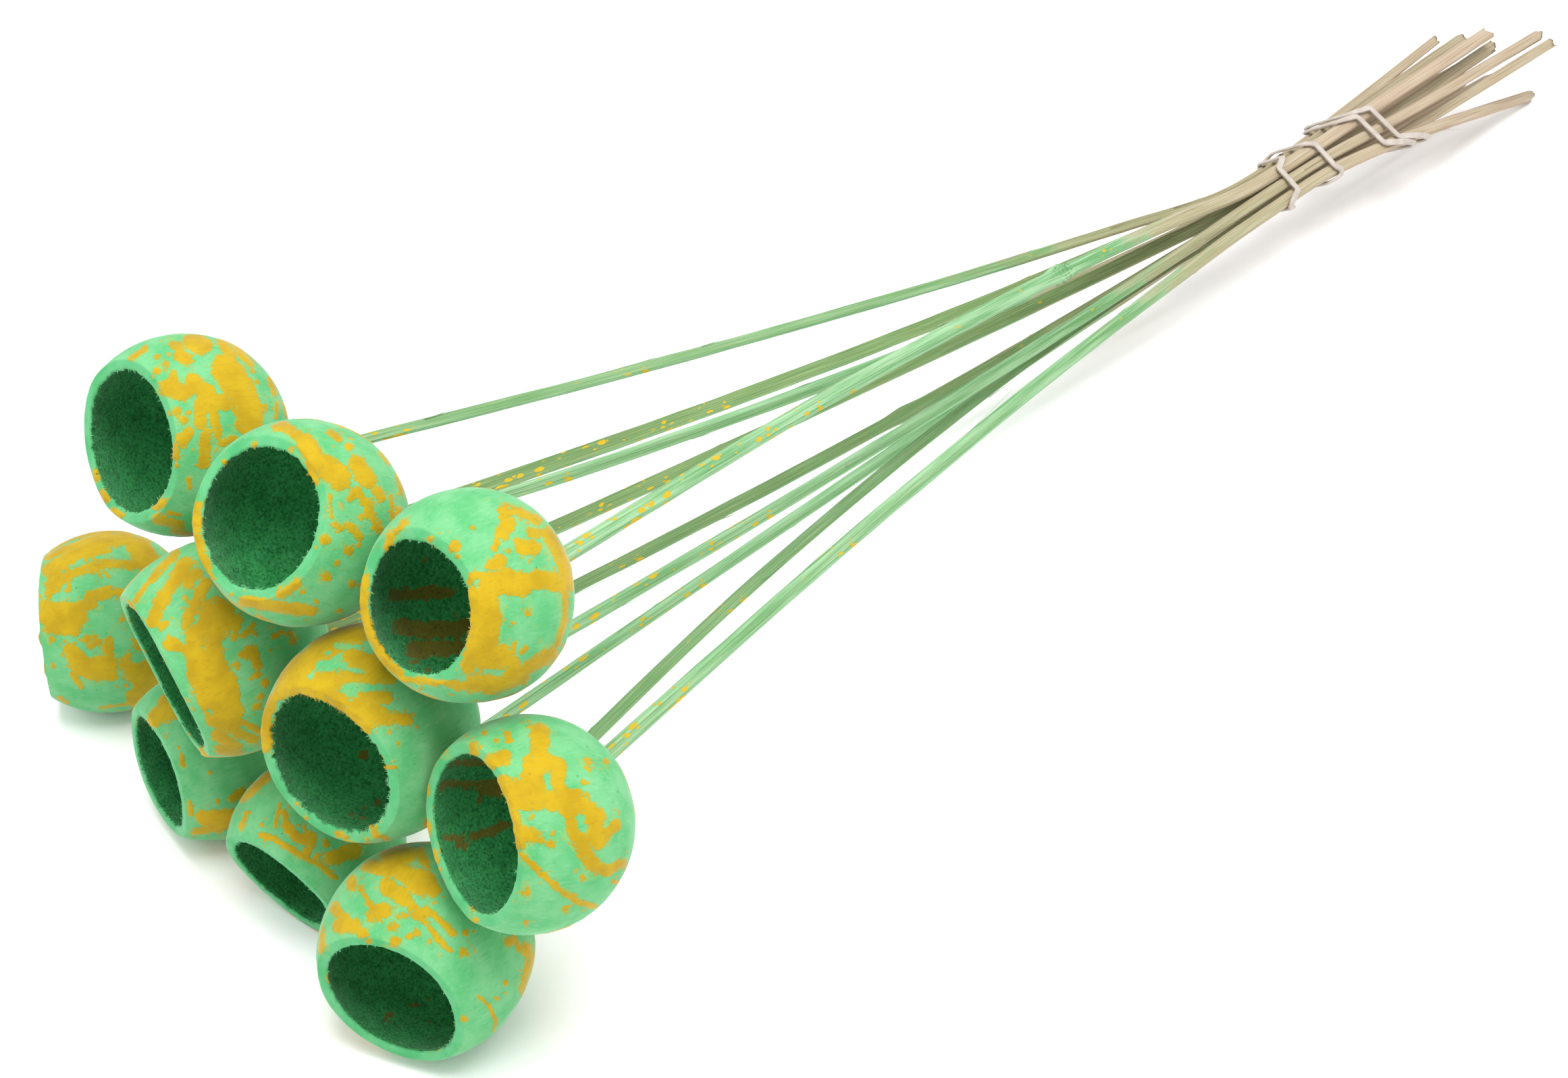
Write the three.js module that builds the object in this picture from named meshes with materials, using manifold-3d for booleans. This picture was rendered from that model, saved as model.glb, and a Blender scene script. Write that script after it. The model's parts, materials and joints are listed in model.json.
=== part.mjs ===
// A tied bunch of ten dyed bell cups on split stems, lying on a table.
// Millimetres, Z up. The cups open towards -X and the cut ends of the stems point to +X.
// The layout is written from the tie (x = 0, y = 0, table at z = 0), and the finished group is then
// moved so that the origin is under the middle of its box.

import * as THREE from 'three';
import { mergeVertices } from 'three/addons/utils/BufferGeometryUtils.js';
import Module from 'manifold-3d';

const wasm = await Module();
wasm.setup();

// Cup shell
const WALL = 2.2;
const BASE = 8;
const FRONT_STRETCH = 1.07;
const BACK_STRETCH = 0.95;
const CUP_SIDES = 22;
const OUTER_STEPS = 8;
const INNER_STEPS = 6;
const RIM_ROUND = 0.5;
const SWELL = 0.01;
const RIM_WAVE = 0.015;

// Stem in its hole, and pieces that rest on the table
const FIT_GAP = 0.3;
const SOCKET_DEPTH = 5;
const SOCKET_OUT = 6;
const FOOT = 0.7;

// Stem section, wide at the cut end and slim at the cup
const STEM_SIDES = 8;
const STEM_STEPS = 16;
const STEM_AT_CUP = 3.4;
const STEM_AT_END = 4.1;
const STEM_FLATNESS = 0.9;
const STEM_FLAT_SIDE = 0.85;

// Tie, where the stems lie side by side in three rows that open out towards the cut ends
const TIE_PITCH = 4.6;
const TIE_TURN = 30;
const TIE_STATIONS = [
  { x: -20, y: 1.4, z: 25.4, scale: 1 },
  { x: 14, y: 1.4, z: 25.4, scale: 1 },
  { x: 50, y: 0.7, z: 24.7, scale: 1.5 },
];

// Rubber bands, each wound twice: the turns are spread along X, slanted, and cross once out of sight
const BAND_WIDTH = 1.9;
const BAND_THICKNESS = 0.9;
const BAND_STEPS = 84;
const BAND_STEM_RADIUS = 2.2;
const BAND_SLANT_ANGLE = 137;
const BANDS = [
  { name: 'band_lower', x: 3, spread: 11, slant: -2, skew: 5, crossing: 225 },
  { name: 'band_upper', x: 43, spread: 4, slant: 13, skew: 1, crossing: 200 },
];

const onTable = (radius) => radius - FOOT;

// Each pod has a cup (centre, radius, the way its mouth faces in degrees, mouth radius over cup radius, phase of
// its lumps) and a stem (its hole in the back of the cup as y and z from the cup's centre, its bow at mid length
// as y and z, its column and row at the tie, its cut end, its turn about its length in degrees, its girth).
const PODS = [
  { name: 'low_1', centre: [-369, 90.5, onTable(21.5)], radius: 21.5, yaw: 38, pitch: 3, mouth: 0.78, phase: 0.4,
    hole: [-3.5, 1], bow: [-6, -5.5], slot: [-1, 0], end: [125, 8, 18], roll: 20, girth: 1 },
  { name: 'low_2', centre: [-381, 36, onTable(19.5)], radius: 19.5, yaw: 14, pitch: 2, mouth: 0.78, phase: 1.3,
    hole: [-3.5, -1.5], bow: [-3.5, -3], slot: [-1.5, -1], end: [120, 7, 13], roll: 75, girth: 0.95 },
  { name: 'low_3', centre: [-383.5, -4, onTable(19)], radius: 19, yaw: -6, pitch: -16, mouth: 0.79, phase: 2.2,
    hole: [0, 0], bow: [0.5, 0.5], slot: [-0.5, -1], end: [128, 0, 14], roll: 10, girth: 0.95 },
  { name: 'low_4', centre: [-391, -48, onTable(22)], radius: 22, yaw: -19, pitch: -2, mouth: 0.77, phase: 3.5,
    hole: [8, 5.5], bow: [7, 6.5], slot: [0.5, -1], end: [152, -8, 21], roll: -30, girth: 1 },
  { name: 'mid_1', centre: [-384, 20, 59.5], radius: 23, yaw: 15.5, pitch: -10, mouth: 0.83, phase: 4.1,
    hole: [-5, -6], bow: [-1, -1], slot: [0, 0], end: [129, 2, 25], roll: 50, girth: 1 },
  { name: 'mid_2', centre: [-381.5, -26, 60.5], radius: 22, yaw: -11, pitch: 7, mouth: 0.79, phase: 5.2,
    hole: [0, -3.5], bow: [-2, -1.5], slot: [1, 0], end: [151, -3, 22.5], roll: 0, girth: 0.95 },
  { name: 'mid_3', centre: [-379.5, -69.5, 61], radius: 21, yaw: 13, pitch: 16, mouth: 0.83, phase: 0.9,
    hole: [3.5, -1.5], bow: [2.5, 2.5], slot: [1.5, -1], end: [149, -5, 1.1], roll: 15, girth: 1 },
  { name: 'top_1', centre: [-366.5, 48, 91.5], radius: 22, yaw: 4, pitch: 20, mouth: 0.79, phase: 2.7,
    hole: [-9.5, -10], bow: [-2, -2], slot: [-1.5, 1], end: [112, 15, 28.5], roll: -20, girth: 0.9 },
  { name: 'top_2', centre: [-375, -2.5, 97.5], radius: 21, yaw: -7, pitch: 35, mouth: 0.78, phase: 3.9,
    hole: [-3.5, -7], bow: [-2.5, -2.5], slot: [-0.5, 1], end: [120, 9, 28.5], roll: 40, girth: 1 },
  { name: 'top_3', centre: [-369, -45, 97.5], radius: 20.5, yaw: -5, pitch: 22, mouth: 0.73, phase: 5.8,
    hole: [1, -5], bow: [3, 3], slot: [0.5, 1], end: [123, 2, 31.5], roll: 5, girth: 1.12 },
];

const CUP_MATERIAL = { color: '#68bd8a', roughness: 0.9, metalness: 0 };
const STEM_MATERIAL = { color: '#b9b98a', roughness: 0.8, metalness: 0 };
const BAND_MATERIAL = { color: '#d8b6a2', roughness: 0.7, metalness: 0 };

// Closed solids for cutting and joining

function weld(geometry) {
  const bare = geometry.clone();
  bare.deleteAttribute('normal');
  bare.deleteAttribute('uv');
  return mergeVertices(bare, 1e-4);
}

function toSolid(geometry) {
  const welded = weld(geometry);
  const mesh = new wasm.Mesh({
    numProp: 3,
    vertProperties: new Float32Array(welded.attributes.position.array),
    triVerts: new Uint32Array(welded.index.array),
  });
  return new wasm.Manifold(mesh);
}

function toGeometry(solid) {
  const mesh = solid.getMesh();
  const geometry = new THREE.BufferGeometry();
  geometry.setAttribute('position', new THREE.BufferAttribute(new Float32Array(mesh.vertProperties), 3));
  geometry.setIndex(new THREE.BufferAttribute(new Uint32Array(mesh.triVerts), 1));
  geometry.computeVertexNormals();
  return geometry;
}

function belowTable() {
  const slab = new THREE.BoxGeometry(1000, 1000, 50);
  return slab.translate(0, 0, -25);
}

// Cup: a lathe profile up the outside, over the rim and down the inside, then swollen unevenly

function cupProfile(radius, mouth) {
  const rimRadius = mouth * radius;
  const rimAngle = Math.acos(mouth);
  const rimHeight = FRONT_STRETCH * radius * Math.sin(rimAngle);
  const stretch = (sine) => (sine > 0 ? FRONT_STRETCH : BACK_STRETCH) * radius * sine;
  const points = [];
  for (let i = 0; i <= OUTER_STEPS; i += 1) {
    const angle = THREE.MathUtils.lerp(-Math.PI / 2, rimAngle, i / OUTER_STEPS);
    const lip = i === OUTER_STEPS ? RIM_ROUND : 0;
    points.push(new THREE.Vector2(radius * Math.cos(angle), stretch(Math.sin(angle)) - lip));
  }
  points.push(new THREE.Vector2(rimRadius - RIM_ROUND, rimHeight));
  points.push(new THREE.Vector2(rimRadius - WALL + RIM_ROUND, rimHeight));

  const innerRadius = radius - WALL;
  const innerRim = rimRadius - WALL;
  const innerAngle = Math.acos(innerRim / innerRadius);
  const innerFront = (rimHeight - RIM_ROUND) / Math.sin(innerAngle);
  const innerBack = BACK_STRETCH * radius - BASE;
  for (let i = 0; i <= INNER_STEPS; i += 1) {
    const angle = THREE.MathUtils.lerp(innerAngle, -Math.PI / 2, i / INNER_STEPS);
    const sine = Math.sin(angle);
    const height = (sine > 0 ? innerFront : innerBack) * sine;
    points.push(new THREE.Vector2(innerRadius * Math.cos(angle), height));
  }
  points[0].x = 0;
  points[points.length - 1].x = 0;
  return points;
}

function swell(geometry, radius, phase) {
  const position = geometry.attributes.position;
  for (let i = 0; i < position.count; i += 1) {
    const x = position.getX(i);
    const y = position.getY(i);
    const z = position.getZ(i);
    const angle = Math.atan2(z, x);
    const height = y / radius;
    const factor = 1 + SWELL * (Math.sin(2 * angle + phase) + Math.sin(3 * angle + 2 * phase + 2 * height));
    const wave = RIM_WAVE * radius * Math.max(0, height) * Math.sin(3 * angle + 3 * phase);
    position.setXYZ(i, x * factor, y + wave, z * factor);
  }
  return geometry;
}

function mouthDirection(pod) {
  const yaw = THREE.MathUtils.degToRad(pod.yaw);
  const pitch = THREE.MathUtils.degToRad(pod.pitch);
  const level = Math.cos(pitch);
  return new THREE.Vector3(-level * Math.cos(yaw), level * Math.sin(yaw), Math.sin(pitch));
}

function makeCup(pod, socket) {
  const mesh = new THREE.Mesh();
  mesh.name = `cup_${pod.name}`;
  mesh.material = new THREE.MeshStandardMaterial(CUP_MATERIAL);
  mesh.position.fromArray(pod.centre);
  mesh.quaternion.setFromUnitVectors(new THREE.Vector3(0, 1, 0), mouthDirection(pod));
  mesh.updateMatrix();
  const toCup = mesh.matrix.clone().invert();

  const shell = new THREE.LatheGeometry(cupProfile(pod.radius, pod.mouth), CUP_SIDES);
  const whole = toSolid(swell(weld(shell), pod.radius, pod.phase));
  const socketHole = toSolid(socket.applyMatrix4(toCup));
  const table = toSolid(belowTable().applyMatrix4(toCup));
  mesh.geometry = toGeometry(whole.subtract(socketHole).subtract(table));
  return mesh;
}

// Stem: a cylinder bent along a curve, tapered and flat on one side

function tieSlot(pod, station) {
  const turn = THREE.MathUtils.degToRad(TIE_TURN);
  const right = pod.slot[0] * TIE_PITCH * station.scale;
  const up = pod.slot[1] * TIE_PITCH * station.scale * Math.sin(Math.PI / 3);
  const y = up * Math.sin(turn) - right * Math.cos(turn);
  const z = up * Math.cos(turn) + right * Math.sin(turn);
  return new THREE.Vector3(station.x, station.y + y, station.z + z);
}

function stemCurve(pod) {
  const depth = BACK_STRETCH * pod.radius;
  const [holeY, holeZ] = pod.hole;
  const back = Math.sqrt(depth * depth - holeY * holeY - holeZ * holeZ);
  const base = new THREE.Vector3(back, holeY, holeZ).add(new THREE.Vector3().fromArray(pod.centre));
  const tie = TIE_STATIONS.map((station) => tieSlot(pod, station));
  const along = tie[0].clone().sub(base).normalize();
  const bow = new THREE.Vector3(0, pod.bow[0], pod.bow[1]);
  const points = [base.clone().addScaledVector(along, -SOCKET_DEPTH)];
  for (const share of [0.05, 0.3, 0.6, 0.85]) {
    points.push(base.clone().lerp(tie[0], share).addScaledVector(bow, 4 * share * (1 - share)));
  }
  points.push(...tie, new THREE.Vector3().fromArray(pod.end));
  return new THREE.CatmullRomCurve3(points, false, 'centripetal');
}

// Bends a cylinder of unit radius along part of the curve; extra widens it all round.
function bentStem(pod, curve, share, steps, extra) {
  const geometry = weld(new THREE.CylinderGeometry(1, 1, 1, STEM_SIDES, steps));
  const position = geometry.attributes.position;
  const roll = THREE.MathUtils.degToRad(pod.roll);
  for (let i = 0; i < position.count; i += 1) {
    const t = (0.5 - position.getY(i)) * share;
    const width = pod.girth * THREE.MathUtils.lerp(STEM_AT_CUP, STEM_AT_END, t) / 2 + extra;
    const side = position.getX(i) * width;
    const flat = position.getZ(i) < 0 ? STEM_FLAT_SIDE : 1;
    const rise = position.getZ(i) * (width * STEM_FLATNESS * flat + extra);
    const tangent = curve.getTangentAt(t);
    const across = new THREE.Vector3(0, 0, 1).cross(tangent).normalize();
    const over = tangent.clone().cross(across);
    const point = curve.getPointAt(t);
    point.addScaledVector(across, side * Math.cos(roll) - rise * Math.sin(roll));
    point.addScaledVector(over, side * Math.sin(roll) + rise * Math.cos(roll));
    position.setXYZ(i, point.x, point.y, point.z);
  }
  return geometry;
}

function makeStem(pod, curve) {
  const rod = toSolid(bentStem(pod, curve, 1, STEM_STEPS, 0));
  const mesh = new THREE.Mesh(toGeometry(rod.subtract(toSolid(belowTable()))));
  mesh.name = `stem_${pod.name}`;
  mesh.material = new THREE.MeshStandardMaterial(STEM_MATERIAL);
  return mesh;
}

// Rubber band: a ring wound twice, stretched over the outermost stems, one turn lifted where the turns cross

function pointAtX(curve, x) {
  let low = 0;
  let high = 1;
  for (let i = 0; i < 40; i += 1) {
    const middle = (low + high) / 2;
    if (curve.getPointAt(middle).x < x) low = middle;
    else high = middle;
  }
  return curve.getPointAt(low);
}

// Centre of the rubber strand at a winding angle, which runs twice round
function strandPoint(band, stems, winding) {
  const crossing = THREE.MathUtils.degToRad(band.crossing);
  const slant = -Math.cos(winding - THREE.MathUtils.degToRad(BAND_SLANT_ANGLE));
  const shift = Math.sin((winding - crossing) / 2);
  const x = band.x + band.spread * shift + (band.slant + band.skew * shift) * slant;
  const apart = 2 * band.spread * Math.abs(shift);
  const second = winding % (4 * Math.PI) > 2 * Math.PI;
  const over = second ? 1 - THREE.MathUtils.smoothstep(apart, BAND_WIDTH, 2 * band.spread) : 0;
  const outward = new THREE.Vector3(0, -Math.cos(winding), Math.sin(winding));
  const sides = stems.map(({ pod, curve }) => (
    pointAtX(curve, x).addScaledVector(outward, BAND_STEM_RADIUS * pod.girth)
  ));
  const outermost = sides.reduce((best, side) => (side.dot(outward) > best.dot(outward) ? side : best));
  const lift = FIT_GAP + BAND_THICKNESS / 2 + over * (BAND_THICKNESS + FIT_GAP);
  return outermost.addScaledVector(outward, lift);
}

function makeBand(band, stems) {
  const geometry = weld(new THREE.TorusGeometry(2, 1, 4, BAND_STEPS));
  const position = geometry.attributes.position;
  const step = 2 * Math.PI / BAND_STEPS;
  for (let i = 0; i < position.count; i += 1) {
    const x = position.getX(i);
    const y = position.getY(i);
    const ringward = Math.hypot(x, y) - 2;
    const winding = 2 * Math.atan2(y, x) + 2 * Math.PI;
    const outward = new THREE.Vector3(0, -Math.cos(winding), Math.sin(winding));
    const before = strandPoint(band, stems, winding - step + 4 * Math.PI);
    const after = strandPoint(band, stems, winding + step + 4 * Math.PI);
    const sideways = after.sub(before).cross(outward).normalize();
    const point = strandPoint(band, stems, winding);
    point.addScaledVector(outward, (ringward + position.getZ(i)) * BAND_THICKNESS / 2);
    point.addScaledVector(sideways, (ringward - position.getZ(i)) * BAND_WIDTH / 2);
    position.setXYZ(i, point.x, point.y, point.z);
  }
  const mesh = new THREE.Mesh(geometry);
  mesh.name = band.name;
  mesh.material = new THREE.MeshStandardMaterial(BAND_MATERIAL);
  return mesh;
}

// The bunch

const bunch = new THREE.Group();
const stems = PODS.map((pod) => ({ pod, curve: stemCurve(pod) }));
for (const { pod, curve } of stems) {
  const share = (SOCKET_DEPTH + SOCKET_OUT) / curve.getLength();
  bunch.add(makeCup(pod, bentStem(pod, curve, share, 1, FIT_GAP)));
  bunch.add(makeStem(pod, curve));
}
for (const band of BANDS) bunch.add(makeBand(band, stems));

bunch.updateMatrixWorld(true);
const middle = new THREE.Box3().setFromObject(bunch, true).getCenter(new THREE.Vector3());
bunch.position.set(-middle.x, -middle.y, 0);

export default bunch;
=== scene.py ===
"""A tied bunch of ten dyed bell cups on split stems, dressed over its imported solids."""

import itertools
import json
import math

import bpy
import numpy as np
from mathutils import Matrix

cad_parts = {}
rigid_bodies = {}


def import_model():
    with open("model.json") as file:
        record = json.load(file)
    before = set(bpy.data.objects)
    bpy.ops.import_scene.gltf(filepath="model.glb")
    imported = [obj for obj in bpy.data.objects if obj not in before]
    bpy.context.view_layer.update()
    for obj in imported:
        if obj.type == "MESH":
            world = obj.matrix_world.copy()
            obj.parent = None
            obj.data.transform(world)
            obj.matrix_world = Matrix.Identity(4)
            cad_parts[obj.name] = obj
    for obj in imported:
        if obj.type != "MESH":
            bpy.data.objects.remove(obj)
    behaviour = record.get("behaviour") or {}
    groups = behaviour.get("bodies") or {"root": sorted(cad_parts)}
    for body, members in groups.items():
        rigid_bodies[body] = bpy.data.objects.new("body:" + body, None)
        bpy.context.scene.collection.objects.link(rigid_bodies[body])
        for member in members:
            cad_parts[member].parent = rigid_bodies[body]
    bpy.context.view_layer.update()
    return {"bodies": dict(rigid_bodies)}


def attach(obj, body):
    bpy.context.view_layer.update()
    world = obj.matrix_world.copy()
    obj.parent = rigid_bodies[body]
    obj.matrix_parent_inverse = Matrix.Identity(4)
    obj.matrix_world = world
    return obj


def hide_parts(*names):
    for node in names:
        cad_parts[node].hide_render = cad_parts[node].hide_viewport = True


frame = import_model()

BODY = next(iter(frame["bodies"]))
SEED = 11

# Sizes are in millimetres, and the layout is written from the tie, as the solids are.
MM = 0.001
TIE_IN_FRAME = np.array((129.1537, -11.1148, 0.0))

# Camera, fitted to the photograph, with the photograph's size in pixels
PHOTO_WIDTH = 2322
PHOTO_HEIGHT = 1596
CAMERA_PLACE = np.array((-488.46, -361.72, 393.86))
CAMERA_HEADING = 47.9
CAMERA_DOWN = 36.0
LENS = 58.5
SENSOR = 36.0

# Studio, in metres and watts. It is this much brighter than one that shows white paper as just white.
STUDIO = 1.55
LIGHT_ALL_ROUND = 0.97
SOFTBOXES = (
    dict(name="key_softbox", place=(-0.25, -0.35, 1.45), size=0.9, power=23.0),
    dict(name="fill_softbox", place=(-0.9, 0.9, 0.8), size=0.8, power=3.0),
)
FLOOR_REACH = 4.0
FLOOR_DROP = 0.0002

# Cup shell
WALL = 2.2
BASE = 8.0
FRONT_STRETCH = 1.07
BACK_STRETCH = 0.95
LIP_ROUND = 0.3
LIP_SWELL = 0.1
EDGE_ROUND = 0.5
SWELL = 0.01
RIM_WAVE = 0.015
HOLE_RADIUS = 1.9
HOLE_RIM = 2.9
HOLE_DEPTH = 1.4
HOLE_REACH = 6.0

# Rings of the shell, from the back over the cut rim to the bottom of the lining
SHELL_SIDES = 264
OUTSIDE_RINGS = 86
RING_CROWDING = 1.6
LIP_RINGS = 3
CUT_RINGS = 5
LINING_RINGS = 30
CUT_RING = OUTSIDE_RINGS + 1
EDGE_RING = OUTSIDE_RINGS + LIP_RINGS + CUT_RINGS + LIP_RINGS - 1
SETTLING_RINGS = 3
EDGE_SPREAD = 2.2

# Unevenness of a cup, as heights and sizes of lumps
DENTS = ((0.14, 7.0), (0.05, 1.8))
FELT_CLUMPS = ((0.3, 1.5), (0.15, 0.7))
SAW_MARKS = ((0.07, 1.1), (0.04, 0.5))
EDGE_TEETH = ((0.34, 1.5), (0.26, 0.7))
EDGE_INWARD = 0.1

# Thickness of paint, and what it adds in lumps on the cut rim
PAINT_COAT = 0.1
RIM_COAT = 0.3
RIM_COAT_LUMP = 1.6

# Hairs of a cup: frayed teeth on the inner edge of the rim, and the hairs of the felt behind it. Finish is a
# place in the cup's list of finishes. They lean inward and to the mouth, with scatter, and look partly sawn.
# Tip sheen is how much lighter their tips are, a painted sheen, which only the felt's finish shows.
RIM_TEETH = dict(count=260, rings=(EDGE_RING - 1, EDGE_RING + 2), length=(0.25, 0.9), width=(0.1, 0.24),
                 tip_sheen=1.0, finish=0)
FELT_NAP = dict(count=1100, rings=(EDGE_RING + 1, EDGE_RING + 20), length=(0.4, 1.0), width=(0.06, 0.11),
                tip_sheen=0.7, finish=1)
HAIR_INWARD = 0.7
HAIR_SCATTER = 0.45
HAIR_FORWARD = 0.35
HAIR_CUT = 0.4

# Stem
SOCKET_DEPTH = 5.0
STEM_AT_CUP = 3.4
STEM_AT_END = 4.1
STEM_FLATNESS = 0.9
STEM_FLAT_SIDE = 0.85
STEM_RINGS = 250
STEM_SIDES = 34
STEM_SEED = 300
BOW_SHARES = (0.05, 0.3, 0.6, 0.85)
CURVE_STEPS = 60

# Fibres, split face, cut end and colours of a stem
FIBRE_RADIUS = 1.9
FIBRE_RIDGES = ((0.10, 0.75), (0.07, 0.35))
RIDGE_DRAW = 0.015
STEM_BUMPS = ((0.06, 1.4),)
BUMP_DRAW = 0.12
SPLIT_HOLLOW = 0.16
END_LENGTH = 14.0
END_FRAY = ((1.2, 0.7),)
END_DIMPLE = 1.8
FLECKED_LENGTH = 40.0
PINK_RUN = (0.55, 0.85)

# Loose fibres, with their corners in radians, and the hairs of a fuzzy knot
LOOSE_FIBRES = 9
STRAND_RINGS = 9
STRAND_CORNERS = (0.0, 2.1, 4.2)
STRAND_HALF = 0.13
STRAND_FLOOR = 0.05
KNOT_HAIRS = 160
KNOT_SPREAD = 2.2
KNOT_HAIR_WIDTH = 0.07

# Tie and rubber bands
TIE_PITCH = 4.6
TIE_TURN = 30.0
TIE_STATIONS = ((-20.0, 1.4, 25.4, 1.0), (14.0, 1.4, 25.4, 1.0), (50.0, 0.7, 24.7, 1.5))
FIT_GAP = 0.3
BAND_WIDTH = 1.9
BAND_THICKNESS = 0.9
BAND_STEM_RADIUS = 2.2
BAND_SLANT_ANGLE = 137.0
BAND_WINDINGS = 900
BAND_RINGS = 420
BAND_SIDES = 12
BAND_SQUARENESS = 0.45
BAND_SMOOTHINGS = 3
BAND_GAP = 0.4 * FIT_GAP
BANDS = (
    dict(name="lower", x=3.0, spread=11.0, slant=-2.0, skew=5.0, crossing=225.0),
    dict(name="upper", x=43.0, spread=4.0, slant=13.0, skew=1.0, crossing=200.0),
)

# Pods: cup centre, radius, the way the mouth faces in degrees, mouth over radius and phase of the lumps; then
# the stem's hole, bow, slot at the tie, cut end, roll and girth. Face is the way the split face looks, in
# degrees round the stem, and cut its depth as a share of the half width. Mint, olive and fleck are how strong
# the dye, the split face's colour and the yellow specks are, and fray is how rough the rim's inner edge is.
PODS = (
    dict(name="low_1", centre=(-369, 90.5, 20.8), radius=21.5, yaw=38, pitch=3, mouth=0.78, phase=0.4,
         hole=(-3.5, 1), bow=(-6, -5.5), slot=(-1, 0), end=(125, 8, 18), roll=20, girth=1.0,
         face=150, cut=0.75, mint=0.75, olive=0.25, fleck=0.7, fray=0.4),
    dict(name="low_2", centre=(-381, 36, 18.8), radius=19.5, yaw=14, pitch=2, mouth=0.78, phase=1.3,
         hole=(-3.5, -1.5), bow=(-3.5, -3), slot=(-1.5, -1), end=(120, 7, 13), roll=75, girth=0.95,
         face=125, cut=0.35, mint=0.45, olive=0.8, fleck=0.6, fray=0.7),
    dict(name="low_3", centre=(-383.5, -4, 18.3), radius=19, yaw=-6, pitch=-16, mouth=0.79, phase=2.2,
         hole=(0, 0), bow=(0.5, 0.5), slot=(-0.5, -1), end=(128, 0, 14), roll=10, girth=0.95,
         face=140, cut=0.8, mint=0.8, olive=0.2, fleck=0.8, fray=0.6),
    dict(name="low_4", centre=(-391, -48, 21.3), radius=22, yaw=-19, pitch=-2, mouth=0.77, phase=3.5,
         hole=(8, 5.5), bow=(7, 6.5), slot=(0.5, -1), end=(152, -8, 21), roll=-30, girth=1.0,
         face=120, cut=0.4, mint=0.55, olive=0.6, fleck=0.6, fray=0.35),
    dict(name="mid_1", centre=(-384, 20, 59.5), radius=23, yaw=15.5, pitch=-10, mouth=0.83, phase=4.1,
         hole=(-5, -6), bow=(-1, -1), slot=(0, 0), end=(129, 2, 25), roll=50, girth=1.0,
         face=130, cut=0.35, mint=0.4, olive=0.9, fleck=0.8, fray=0.6),
    dict(name="mid_2", centre=(-381.5, -26, 60.5), radius=22, yaw=-11, pitch=7, mouth=0.79, phase=5.2,
         hole=(0, -3.5), bow=(-2, -1.5), slot=(1, 0), end=(151, -3, 22.5), roll=0, girth=0.95,
         face=145, cut=0.8, mint=0.8, olive=0.3, fleck=0.8, fray=1.6),
    dict(name="mid_3", centre=(-379.5, -69.5, 61), radius=21, yaw=13, pitch=16, mouth=0.83, phase=0.9,
         hole=(3.5, -1.5), bow=(2.5, 2.5), slot=(1.5, -1), end=(149, -5, 1.1), roll=15, girth=1.0,
         face=135, cut=0.8, mint=0.75, olive=0.3, fleck=0.6, fray=0.35),
    dict(name="top_1", centre=(-366.5, 48, 91.5), radius=22, yaw=4, pitch=20, mouth=0.79, phase=2.7,
         hole=(-9.5, -10), bow=(-2, -2), slot=(-1.5, 1), end=(112, 15, 28.5), roll=-20, girth=0.9,
         face=110, cut=0.6, mint=0.7, olive=0.5, fleck=0.6, fray=0.7),
    dict(name="top_2", centre=(-375, -2.5, 97.5), radius=21, yaw=-7, pitch=35, mouth=0.78, phase=3.9,
         hole=(-3.5, -7), bow=(-2.5, -2.5), slot=(-0.5, 1), end=(120, 9, 28.5), roll=40, girth=1.0,
         face=120, cut=0.35, mint=0.4, olive=0.9, fleck=0.8, fray=0.7),
    dict(name="top_3", centre=(-369, -45, 97.5), radius=20.5, yaw=-5, pitch=22, mouth=0.73, phase=5.8,
         hole=(1, -5), bow=(3, 3), slot=(0.5, 1), end=(123, 2, 31.5), roll=5, girth=1.12,
         face=130, cut=0.85, mint=1.0, olive=0.05, fleck=1.0, fray=0.6),
)

# Swellings on two stems: where they show in the photograph, their height, length and whether they are fuzzy
KNOTS = {
    "top_3": dict(pixel=(1567, 400), height=0.7, length=4.0, fuzzy=True),
    "low_2": dict(pixel=(1340, 610), height=0.45, length=5.0, fuzzy=False),
}
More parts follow.
